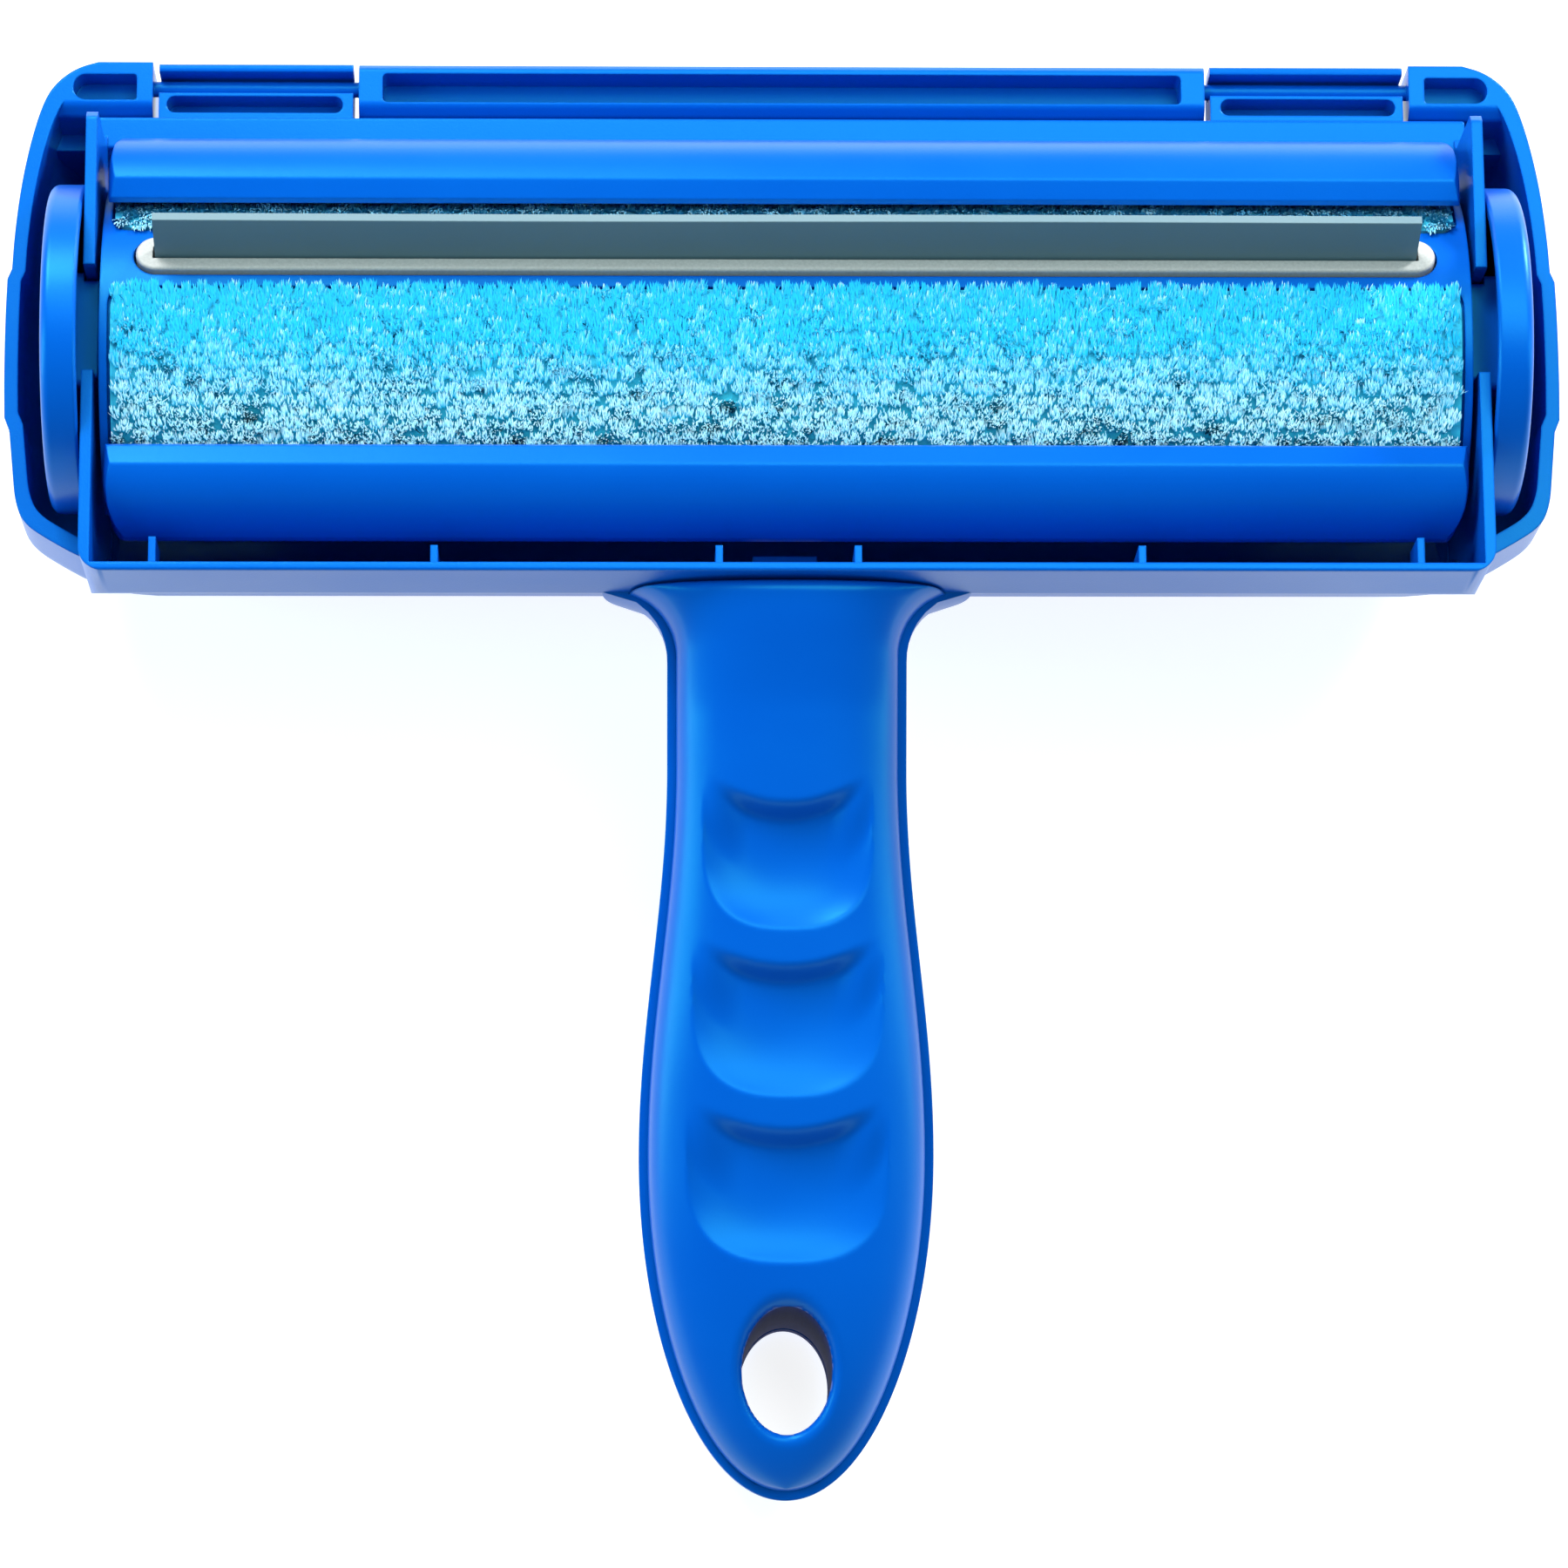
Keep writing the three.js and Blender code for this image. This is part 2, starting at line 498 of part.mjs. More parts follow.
function lid() {
  const outer = lidDome(0, LID.rim);
  const hollow = lidDome(LID.thickness, LID.rim + 1);
  const middleCut = box(-LID.split, LID.split, -40, 31.4, LID.middle, 20);
  const clipCut = (side) => {
    const [x0, x1] = [HINGE.block + 0.3, HINGE.corner];
    return side > 0 ? box(x0, x1, 31.2, 45, -40, 20) : box(-x1, -x0, 31.2, 45, -40, 20);
  };
  const shell = cut(outer, hollow, middleCut);
  const partition = box(LID.partition, LID.partition + 1.4, -40, 31, -29.5, WALL.back - GAP).intersect(outer);
  const middleBlock = alongX(blockSection, -HINGE.block, HINGE.block);
  const cornerBlock = alongX(blockSection, HINGE.corner, 96).intersect(outer);
  const rod = cylinder('x', HINGE.rod, HINGE.block - 1, HINGE.corner + 1, [HINGE.y, HINGE.z], 20);
  const tongueReach = outer.translate([0, 1.2, 0]).add(box(-5, 5, -27, -25, -8, 5));
  const tongue = box(-4, 4, -26.6, -25.2, -26, 3).intersect(tongueReach);
  const recess = alongZ(roundedRectangle(-50.6, 50.6, 33.4, 37.2, Array(4).fill(0.4)), 1.2, 10);
  const pocket = alongZ(roundedRectangle(81.6, 89.6, 33.6, 37, [0.4, 1.6, 1.6, 0.4]), 2, 10);
  const blocks = union(middleBlock, cornerBlock, mirroredX(cornerBlock), rod, mirroredX(rod));
  const whole = union(shell, partition, mirroredX(partition), blocks, tongue);
  return cut(whole, recess, pocket, mirroredX(pocket));
}

// ---------------------------------------------------------------- bearing caps and end wheels
function bearingCap() {
  const tongue = box(CAP.inner, CAP.face, -SEAT.halfWidth + GAP, SEAT.halfWidth - GAP, GAP, CAP.height);
  const flange = box(CAP.face, CAP.outer, -CAP.halfWidth, CAP.halfWidth, GAP, CAP.height);
  const saddle = cylinder('x', SEAT.radius, 80, 90, [0, 0]);
  const axle = cylinder('x', CAP.axle, CAP.face, 91, [0, WHEEL.rise], 28);
  const neck = cylinder('x', CAP.neck, 90.5, CLIP.outer - 0.2, [0, WHEEL.rise], 24);
  return union(cut(union(tongue, flange), saddle), axle, neck);
}

// A ring turned about the X axis through the wheel's centre, from [radius, x] points.
function turned(profile, segments) {
  const points = profile.map(([radius, x]) => new THREE.Vector2(radius, x));
  points.push(points[0].clone());
  const geometry = new THREE.LatheGeometry(points, segments);
  geometry.rotateZ(-Math.PI / 2).translate(0, 0, WHEEL.rise);
  const indexed = mergeVertices(stripped(geometry), 1e-4);
  return solid(facingOut(withoutSlivers(indexed)));
}

function stripped(geometry) {
  geometry.deleteAttribute('normal');
  geometry.deleteAttribute('uv');
  return geometry;
}

function withoutSlivers(geometry) {
  const index = Array.from(geometry.index.array);
  const kept = [];
  for (let i = 0; i < index.length; i += 3) {
    const [a, b, c] = index.slice(i, i + 3);
    if (a !== b && b !== c && c !== a) kept.push(a, b, c);
  }
  geometry.setIndex(kept);
  return geometry;
}

function endWheel() {
  const { radius, inner, outer, rim, web, hub, fillet } = WHEEL;
  const bore = CAP.axle + GAP;
  const edge = [0, 1, 2].map((i) => {
    const angle = (i / 2) * (Math.PI / 2);
    return [radius - fillet * (1 - Math.cos(angle)), outer - fillet * (1 - Math.sin(angle))];
  });
  return turned([
    [bore, CAP.outer + GAP], [hub, CAP.outer + GAP], [hub, outer - web], [radius - rim, outer - web],
    [radius - rim, inner], [radius - 0.3, inner], [radius, inner + 0.3], ...edge,
    [radius - 3.2, outer], [radius - 3.8, outer - 0.5], [hub + 1.4, outer - 0.5], [hub + 0.8, outer],
    [bore, outer],
  ], 40);
}

function wheelClip() {
  const bore = CAP.neck + GAP;
  const { radius, inner, outer } = CLIP;
  const chamfer = 0.4;
  return turned([
    [bore, inner], [radius, inner], [radius, outer - chamfer], [radius - chamfer, outer], [bore, outer],
  ], 20);
}

// ---------------------------------------------------------------- release button, spring and screws
// The button's outline swept along the handle's normal, in its own tilted frame.
function buttonBlank(grow, low, high) {
  const { halfWidth, halfLength, corner } = BUTTON;
  const shape = roundedRectangle(
    -halfWidth - grow, halfWidth + grow, -halfLength - grow, halfLength + grow, Array(4).fill(corner + grow));
  const tilt = THREE.MathUtils.radToDeg(Math.atan(HANDLE.slope));
  return alongZ(shape, low, high).rotate([tilt, 0, 0]).translate([0, BUTTON.y, partingZ(BUTTON.y)]);
}

function releaseButton() {
  const { halfWidth, halfLength, corner } = BUTTON;
  const outline = roundedRectangle(-halfWidth, halfWidth, -halfLength, halfLength, Array(4).fill(corner));
  const pad = alongZ(outline, -14.6, -8);
  const grips = [-2.4, 0, 2.4].map((y) => cylinder('x', 0.7, -4.5, 4.5, [y, -14.9], 12));
  const flange = box(-8.6, 8.6, -7.6, 7.6, -8.4, -7.2);
  const finger = box(-3, 3, 6, 19, -7.9, -6.4);
  const cup = cylinder('z', 3.6, -8, -4.4, [0, 0], 28);
  const well = cylinder('z', 2.9, -12, 0, [0, 0], 28);
  return cut(union(pad, flange, finger, cup), ...grips, well);
}

// A compression spring, its wire swept along a helix.
class Helix extends THREE.Curve {
  constructor(radius, height, turns) {
    super();
    Object.assign(this, { radius, height, turns });
  }

  getPoint(t, target = new THREE.Vector3()) {
    const angle = 2 * Math.PI * this.turns * t;
    return target.set(this.radius * Math.cos(angle), this.radius * Math.sin(angle), this.height * t);
  }
}

function buttonSpring() {
  const wire = new THREE.Shape();
  wire.absarc(0, 0, 0.3, 0, 2 * Math.PI);
  const path = new Helix(2.3, 15, 5);
  return new THREE.ExtrudeGeometry(wire, { steps: 50, extrudePath: path, curveSegments: 3 });
}

function handleScrew(y) {
  const floor = partingZ(y) - rearDepth(y) + 2.6 - GAP;
  const head = cylinder('z', SCREW.head, floor - SCREW.headThickness, floor, [0, y], 28);
  const shank = cylinder('z', SCREW.shank, floor - 0.5, partingZ(y) + 4, [0, y], 18);
  const [arm, halfSlot] = [2, 0.35];
  const across = box(-arm, arm, y - halfSlot, y + halfSlot, -5, floor - 1);
  const upright = box(-halfSlot, halfSlot, y - arm, y + arm, -5, floor - 1);
  return cut(union(head, shank), across, upright);
}

// ---------------------------------------------------------------- assembly
function piece(name, material, shape) {
  const geometry = shape.isBufferGeometry ? shape : geometryOf(shape);
  geometry.computeVertexNormals();
  const mesh = new THREE.Mesh(geometry, MATERIALS[material]);
  mesh.name = name;
  return mesh;
}

function group(position, ...children) {
  const holder = new THREE.Group();
  holder.position.set(...position);
  holder.add(...children);
  return holder;
}

function drum() {
  const holder = group([0, 0, 0],
    piece('drum_shell', 'casing', drumShell()),
    piece('drum_end_right', 'casing', drumEnd()),
    piece('drum_end_left', 'casing', mirroredX(drumEnd())),
    piece('blade_holder', 'holder', bladeHolder()),
    piece('rubber_blade', 'rubber', rubberBlade()),
    piece('lint_pad_upper', 'velour', napPatch(1, 0, NAP.floor + GAP, NAP.outer)),
    piece('lint_pad_lower', 'velour', napPatch(-1, 0, NAP.floor + GAP, NAP.outer)));
  holder.rotation.x = -DRUM.rest;
  return holder;
}

function strippers() {
  const lower = (shape) => shape.mirror([0, 1, 0]);
  return [
    piece('stripper_bar_upper', 'casing', stripperBar()),
    piece('stripper_bar_lower', 'casing', lower(stripperBar())),
    piece('stripper_pad_upper', 'velour', stripperPad()),
    piece('stripper_pad_lower', 'velour', lower(stripperPad())),
  ];
}

function endFittings() {
  const makers = { bearing_cap: bearingCap, end_wheel: endWheel, wheel_clip: wheelClip };
  return Object.entries(makers).flatMap(([name, make]) => [
    piece(`${name}_right`, 'casing', make()),
    piece(`${name}_left`, 'casing', mirroredX(make())),
  ]);
}

function release() {
  const spring = piece('button_spring', 'steel', buttonSpring());
  spring.position.z = -11.6;
  const button = piece('release_button', 'casing', releaseButton());
  const holder = group([0, BUTTON.y, partingZ(BUTTON.y)], button, spring);
  holder.rotation.x = Math.atan(HANDLE.slope);
  return holder;
}

const roller = new THREE.Group();
roller.add(
  piece('frame', 'casing', frame()),
  piece('handle_front_shell', 'casing', handleFrontShell()),
  group([0, AXIS.y, AXIS.z], piece('lid', 'casing', lid()), drum(), ...strippers(), ...endFittings()),
  release(),
  piece('handle_screw_upper', 'steel', handleScrew(SCREW.places[0])),
  piece('handle_screw_lower', 'steel', handleScrew(SCREW.places[1])),
);

export default roller;
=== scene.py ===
import math

import bpy
import numpy as np
from mathutils import Matrix, Vector


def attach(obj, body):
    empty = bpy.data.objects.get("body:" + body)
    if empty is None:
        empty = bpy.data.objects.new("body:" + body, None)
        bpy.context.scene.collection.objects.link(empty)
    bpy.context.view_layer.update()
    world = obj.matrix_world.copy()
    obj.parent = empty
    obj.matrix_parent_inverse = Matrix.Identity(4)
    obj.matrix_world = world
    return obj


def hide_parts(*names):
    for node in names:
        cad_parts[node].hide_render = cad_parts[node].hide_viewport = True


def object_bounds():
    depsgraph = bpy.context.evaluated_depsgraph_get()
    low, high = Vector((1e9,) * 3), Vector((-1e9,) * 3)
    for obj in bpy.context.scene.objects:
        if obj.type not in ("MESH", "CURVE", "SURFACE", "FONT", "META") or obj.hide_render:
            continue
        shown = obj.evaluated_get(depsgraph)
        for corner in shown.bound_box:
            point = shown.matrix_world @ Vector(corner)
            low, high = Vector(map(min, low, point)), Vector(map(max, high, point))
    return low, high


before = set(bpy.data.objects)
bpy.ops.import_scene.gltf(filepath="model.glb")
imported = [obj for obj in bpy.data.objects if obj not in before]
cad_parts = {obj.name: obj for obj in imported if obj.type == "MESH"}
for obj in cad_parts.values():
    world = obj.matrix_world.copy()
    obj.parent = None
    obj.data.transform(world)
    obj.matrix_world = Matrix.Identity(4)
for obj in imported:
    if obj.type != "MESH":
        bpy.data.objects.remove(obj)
CAD_BOX = [list(corner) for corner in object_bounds()]

# Sizes are in millimetres. The head's parts are drawn about the drum's axis, then moved into place.
MM = 0.001
GAP = 0.3  # clearance between parts that fit into each other
AXIS_Y, AXIS_Z = 51, 30  # the drum's axis in the row frame
REST = math.radians(20.6)  # how far the drum leans at rest


# ---------------------------------------------------------------- solids
class Solid:
    """A closed mesh that can be moved, mirrored, joined and cut."""

    def __init__(self, points, faces):
        self.points = np.asarray(points, dtype=float).reshape(-1, 3)
        self.faces = [tuple(int(i) for i in face) for face in faces]
        if self.volume() < 0:
            self.faces = [face[::-1] for face in self.faces]

    def volume(self):
        total = 0.0
        for size in {len(face) for face in self.faces}:
            ring = np.array([face for face in self.faces if len(face) == size])
            a = self.points[ring[:, 0]]
            for i in range(1, size - 1):
                b = self.points[ring[:, i]]
                c = self.points[ring[:, i + 1]]
                total += np.einsum("ij,ij->", a, np.cross(b, c))
        return total / 6

    def moved(self, x=0, y=0, z=0):
        return Solid(self.points + np.array([x, y, z]), self.faces)

    def scaled(self, x=1, y=1, z=1):
        return Solid(self.points * np.array([x, y, z]), self.faces)

    def mirrored_x(self):
        return self.scaled(x=-1)

    def mirrored_y(self):
        return self.scaled(y=-1)

    def turned_x(self, angle):
        """Turned about the X axis, from +Y towards +Z."""
        c, s = math.cos(angle), math.sin(angle)
        x, y, z = self.points.T
        return Solid(np.column_stack([x, y * c - z * s, y * s + z * c]), self.faces)

    def mesh(self, name, scale=1.0):
        """A Blender mesh of it."""
        mesh = bpy.data.meshes.new(name)
        mesh.from_pydata((self.points * scale).tolist(), [], self.faces)
        mesh.update()
        return mesh

    def combined(self, operation, tools):
        """The result of one boolean operation with any number of other solids."""
        scene = bpy.context.scene.collection
        objects = [bpy.data.objects.new("solid", item.mesh("solid")) for item in [self, *tools]]
        for item in objects:
            scene.objects.link(item)
        for tool in objects[1:]:
            modifier = objects[0].modifiers.new("boolean", "BOOLEAN")
            modifier.operation = operation
            modifier.solver = "MANIFOLD"
            modifier.object = tool
        graph = bpy.context.evaluated_depsgraph_get()
        result = bpy.data.meshes.new_from_object(objects[0].evaluated_get(graph))
        points = [vertex.co[:] for vertex in result.vertices]
        solid = Solid(points, [face.vertices[:] for face in result.polygons])
        bpy.data.meshes.remove(result)
        for item in objects:
            mesh = item.data
            bpy.data.objects.remove(item)
            bpy.data.meshes.remove(mesh)
        return solid

    def cut(self, *tools):
        return self.combined("DIFFERENCE", tools)

    def join(self, *tools):
        return self.combined("UNION", tools)

    def meet(self, *tools):
        return self.combined("INTERSECT", tools)


def loft(loops):
    """A closed skin over a row of matching loops of points."""
    loops = np.asarray(loops, dtype=float)
    rows, count = loops.shape[:2]
    faces = [tuple(range(count))[::-1], tuple(range((rows - 1) * count, rows * count))]
    for row in range(rows - 1):
        for i in range(count):
            a, b = row * count + i, row * count + (i + 1) % count
            faces.append((a, b, b + count, a + count))
    return Solid(loops.reshape(-1, 3), faces)


def along_x(outline, x0, x1):
    """A bar whose section is an outline of (y, z) points."""
    return loft([[(x, y, z) for y, z in outline] for x in (x0, x1)])


def along_z(outline, z0, z1):
    """A slab whose plan is an outline of (x, y) points."""
    return loft([[(x, y, z) for x, y in outline] for z in (z0, z1)])


def box(x0, x1, y0, y1, z0, z1):
    return along_z([(x0, y0), (x1, y0), (x1, y1), (x0, y1)], z0, z1)


def circle(radius, segments, a=0.0, b=0.0):
    turn = 2 * math.pi / segments
    return [(a + radius * math.cos(i * turn), b + radius * math.sin(i * turn)) for i in range(segments)]


def rod_x(radius, x0, x1, y, z, segments=64):
    return along_x(circle(radius, segments, y, z), x0, x1)


def rod_z(radius, z0, z1, x, y, segments=64):
    return along_z(circle(radius, segments, x, y), z0, z1)


def filleted(outline, radii, steps=6):
    """The outline with its corners rounded; radii is one number or one for each corner."""
    points = [Vector(p) for p in outline]
    radii = [radii] * len(points) if not hasattr(radii, "__len__") else radii
    result = []
    for i, corner in enumerate(points):
        before = points[i - 1] - corner
        after = points[(i + 1) % len(points)] - corner
        half = before.angle(after) / 2
        radius = radii[i]
        if radius <= 0 or half > math.radians(89):
            result.append(tuple(corner))
            continue
        reach = min(radius / math.tan(half), 0.49 * before.length, 0.49 * after.length)
        start = corner + before.normalized() * reach
        end = corner + after.normalized() * reach
        for k in range(steps + 1):
            t = k / steps
            result.append(tuple(start * (1 - t) ** 2 + corner * 2 * t * (1 - t) + end * t ** 2))
    return result


def rounded_rectangle(x0, x1, y0, y1, radii, steps=10):
    """Radii run from the low corner anticlockwise."""
    corners = [(x0, y0), (x1, y0), (x1, y1), (x0, y1)]
    centres = [(1, 1), (-1, 1), (-1, -1), (1, -1)]
    result = []
    for i, ((x, y), (sx, sy), radius) in enumerate(zip(corners, centres, radii)):
        if radius <= 0:
            result.append((x, y))
            continue
        for k in range(steps + 1):
            angle = math.pi + (i + k / steps) * math.pi / 2
            across = x + sx * radius + radius * math.cos(angle)
            along = y + sy * radius + radius * math.sin(angle)
            result.append((across, along))
    return result


def stadium(half_length, half_width):
    """A slot's outline, with half-round ends."""
    radii = [half_width - 0.001] * 4
    return rounded_rectangle(-half_length, half_length, -half_width, half_width, radii, 16)


def bend(start, corner, end, steps):
    """Points on a smooth curve between two points that leans towards a corner."""
    a, b, c = (np.array(point, dtype=float) for point in (start, corner, end))
    times = np.linspace(0, 1, steps + 1)
    return [tuple(a * (1 - t) ** 2 + b * 2 * t * (1 - t) + c * t * t) for t in times]


def arc(radius, start, end, steps):
    """Points about the drum's axis, the angle counted from +Z towards +Y."""
    return [(radius * math.sin(a), radius * math.cos(a)) for a in np.linspace(start, end, steps + 1)]


def arc_degrees(radius, start, end, steps):
    return arc(radius, math.radians(start), math.radians(end), steps)


def revolved(profile, z, segments=96):
    """A ring about the X axis at height z, from a closed row of (radius, x) points."""
    rings = []
    for i in range(segments):
        c = math.cos(2 * math.pi * i / segments)
        s = math.sin(2 * math.pi * i / segments)
        rings.append([(x, radius * s, z + radius * c) for radius, x in profile])
    count = len(profile)
    faces = []
    for i in range(segments):
        j = (i + 1) % segments
        for k in range(count):
            n = (k + 1) % count
            faces.append((i * count + k, i * count + n, j * count + n, j * count + k))
    return Solid(np.array(rings).reshape(-1, 3), faces)


def smooth(value, low, high):
    """Rises from 0 at low to 1 at high, level at both ends."""
    t = np.clip((np.asarray(value, dtype=float) - low) / (high - low), 0, 1)
    return t * t * (3 - 2 * t)


# ---------------------------------------------------------------- drum, drawn with its blade straight up
DRUM_RADIUS, DRUM_INNER, DRUM_HALF = 22.8, 20.4, 84.4
NAP_FLOOR, NAP_HALF, NAP_CORNER = 22.0, 83, 2.2  # the recess that each lint pad lies in
NAP_FROM, NAP_TO = math.radians(12), math.radians(75)
NAP_MARGIN = 0.4
HOLDER_HALF, HOLDER_HALF_WIDTH = 80.1, 2.5
HOLDER_SHOULDER, HOLDER_ROUND = 23.1, 0.4
BLADE_HALF, BLADE_HALF_THICKNESS, BLADE_TOP = 77.7, 0.6, 30.5
JOURNAL_RADIUS = 4.3


def nap_patch(side, margin, inner, outer):
    """A curved pad with rounded corners between two radii, on one side of the blade."""
    half = NAP_HALF + margin
    corner = [(half - NAP_CORNER * (1 - math.sin(t)), NAP_CORNER * (1 - math.cos(t)))
              for t in np.linspace(0, math.pi / 2, 9)]
    row = [(-x, pull) for x, pull in corner][::-1] + corner
    loops = []
    for x, pull in row:
        start = NAP_FROM + (pull - margin) / NAP_FLOOR
        end = NAP_TO - (pull - margin) / NAP_FLOOR
        outline = arc(outer, start, end, 36) + arc(inner, end, start, 36)
        loops.append([(x, side * y, z) for y, z in outline])
    return loft(loops)


def drum_shell():
    quarter = math.pi / 2
    outline = arc(DRUM_RADIUS, -quarter, quarter, 120) + arc(DRUM_INNER, quarter, -quarter, 60)
    shell = along_x(outline, -DRUM_HALF, DRUM_HALF)
    slot = along_z(stadium(HOLDER_HALF + GAP, HOLDER_HALF_WIDTH + GAP), 15, 30)
    recesses = [nap_patch(side, NAP_MARGIN, NAP_FLOOR, 25) for side in (1, -1)]
    return shell.cut(slot, *recesses)


def blade_holder():
    rail = along_z(stadium(HOLDER_HALF, HOLDER_HALF_WIDTH), 18.2, HOLDER_SHOULDER)
    loops = []
    for t in np.linspace(0, math.pi / 2, 6):
        pull = HOLDER_ROUND * (1 - math.cos(t))
        z = HOLDER_SHOULDER + HOLDER_ROUND * math.sin(t)
        loops.append([(x, y, z) for x, y in stadium(HOLDER_HALF - pull, HOLDER_HALF_WIDTH - pull)])
    rounded_top = loft(loops).moved(z=-0.001)
    flange = box(-80.8, 80.8, -5, 5, 17.9, 19.3)
    slot = box(-78, 78, -0.9, 0.9, 18.7, 25)
    return rail.join(rounded_top, flange).cut(slot)


def rubber_blade():
    """A thin lip that waves a little where it stands free of its holder."""
    low, high = -BLADE_HALF_THICKNESS, BLADE_HALF_THICKNESS
    corners = [(low, 19), (high, 19), (high, BLADE_TOP), (low, BLADE_TOP)]
    outline = filleted(corners, [0, 0, 0.18, 0.18], 3)
    loops = []
    for x in np.linspace(-BLADE_HALF, BLADE_HALF, 61):
        sway = 0.05 * math.sin(x / 19)
        loops.append([(x, y + sway * (z - 23) / 7 * (z > 23), z) for y, z in outline])
    return loft(loops)


def drum_end():
    plate = along_x(arc(20.1, -math.pi / 2, math.pi / 2, 64), 81.4, 82.9)
    hub = rod_x(6.8, 81.4, 82.9, 0, 0)
    journal = rod_x(JOURNAL_RADIUS, 81.4, 88.2, 0, 0)
    return plate.join(hub, journal).cut(rod_x(2.5, 80, 86.5, 0, 0))


# ---------------------------------------------------------------- stripper bars
BAR_HALF = 84
BAR_ENDS = [(-5, 0), (16.5, 0), (18.5, 0.12), (20, 0.45), (20.8, 0.9), (21.4, 1.5)]  # height, pull-in
STRIPPER_PAD_HALF, STRIPPER_PAD_INNER, STRIPPER_PAD_OUTER = 82, 24.2, 25


def stripper_bar():
    """The bar above the drum: a lip at its inner edge, a crowned face and ends with rounded corners."""
    crown = bend((18.7, 20.9), (24.4, 19.5), (25.8, 13.6), 28)
    lip = [(15.7, 19.9), (15.9, 20.25), (18.1, 20.95), (18.4, 20.98)]
    outer_edge = [(25.85, 12.6), (25.75, 11.9), (25.45, 11.2), (25.0, 10.6), (24.3, 10.1)]
    back = arc_degrees(24.9, 67, 62, 3) + arc_degrees(25.3, 62, 44, 24) + arc_degrees(24.9, 44, 38.5, 4)
    bar = along_x(lip + crown + outer_edge + back, -BAR_HALF, BAR_HALF)
    loops = []
    for z, pull in BAR_ENDS:
        corner = [(BAR_HALF - pull - 3.2 * (1 - math.cos(t)), 25.95 - 6.8 * (1 - math.sin(t)))
                  for t in np.linspace(0, math.pi / 2, 15)]
        right = [(BAR_HALF - 1 - pull, 9), (BAR_HALF - pull, 10.5), *corner]
        left = [(-x, y) for x, y in right[::-1]]
        loops.append([(x, y, z) for x, y in right + left])
    return bar.meet(loft(loops))


def stripper_pad():
    """The strip of velour in the bar that combs the drum's pad as the drum rocks."""
    outline = arc_degrees(STRIPPER_PAD_INNER, 45, 61, 20) + arc_degrees(STRIPPER_PAD_OUTER, 61, 45, 20)
    return along_x(outline, -STRIPPER_PAD_HALF, STRIPPER_PAD_HALF)


# ---------------------------------------------------------------- frame with its rear handle shell
HEAD_HALF, WALL_INNER, STOP_INNER = 86.5, 85.1, 81.4
HEAD_LOW, HEAD_HIGH = -32.1, 31.15
BOTTOM_OUTER = [(HEAD_LOW, 22), (HEAD_LOW, 11), (-30.6, 5), (-28.6, -2)]
BOTTOM_INNER = [(y + 1.1, z) for y, z in BOTTOM_OUTER]
RIB_HALF, RIB_ROOT, RIB_LOW = 0.45, -31.4, 11
RIBS = [(8.5, -28.4, 20), (43.3, -28.4, 20), (77.8, -26.8, 18)]  # place along the head, reach, top
HINGE_Y, HINGE_Z, HINGE_CHANNEL = 36, 3, 1.3  # the lid's pin, and the radius of the trough it lies in


def head_ring():
    outline = filleted(BOTTOM_OUTER + BOTTOM_INNER[::-1], [0.4, 4, 4, 0.3, 0.3, 4, 4, 0.3])
    bottom = along_x(outline, -HEAD_HALF, HEAD_HALF)
    ledge = [(27, -2), (28.5, -2), (28.5, 4.7), (HEAD_HIGH, 4.7), (HEAD_HIGH, 6.5), (27, 6.5)]
    top = along_x(filleted(ledge, [0, 0, 0, 0.2, 0.4, 0.4]), -HEAD_HALF, HEAD_HALF)
    ring = bottom.join(top, side_wall(), side_wall().mirrored_x())
    plan = rounded_rectangle(-HEAD_HALF, HEAD_HALF, HEAD_LOW, HEAD_HIGH, [3, 3, 0.5, 0.5])
    return ring.meet(along_z(plan, -15, 25))


def side_wall():
    """The right wall: a notch for the drum's journal and two stops that end the drum's rocking."""
    upper = [(-24.4, -2), (-22, -10), (24.4, -10), (28.5, -2), (28.5, 6.5), (26.8, 8), (26.8, 21), (25.8, 22)]
    outline = filleted(BOTTOM_OUTER + upper, [0.5, 4, 4, 0, 0, 2, 2, 0, 0.3, 2, 0.8, 0.7])
    mouth = [(-8.4, 30), (-6.6, 21.2), (-6.6, 0), (6.6, 0), (6.6, 21.2), (8.4, 30)]
    notch = along_x(filleted(mouth, [0, 1.2, 0, 0, 1.2, 0]), 80, 90)
    bore = rod_x(JOURNAL_RADIUS + GAP, 80, 90, 0, 0)
    wall = along_x(outline, WALL_INNER, HEAD_HALF).cut(notch, bore)
    lean = math.tan(REST)
    stop = [(13, -9), (17, -9), (17, -17 * lean - 0.45), (13, -13 * lean - 0.45)]
    facing_stop = [(-y, z) for y, z in stop]
    return wall.join(along_x(stop, STOP_INNER, HEAD_HALF), along_x(facing_stop, STOP_INNER, HEAD_HALF))


def wall_ribs():
    ribs = []
    for place, reach, top in RIBS:
        for x in (-place, place):
            ribs.append(box(x - RIB_HALF, x + RIB_HALF, RIB_ROOT, reach, RIB_LOW, top))
    return ribs


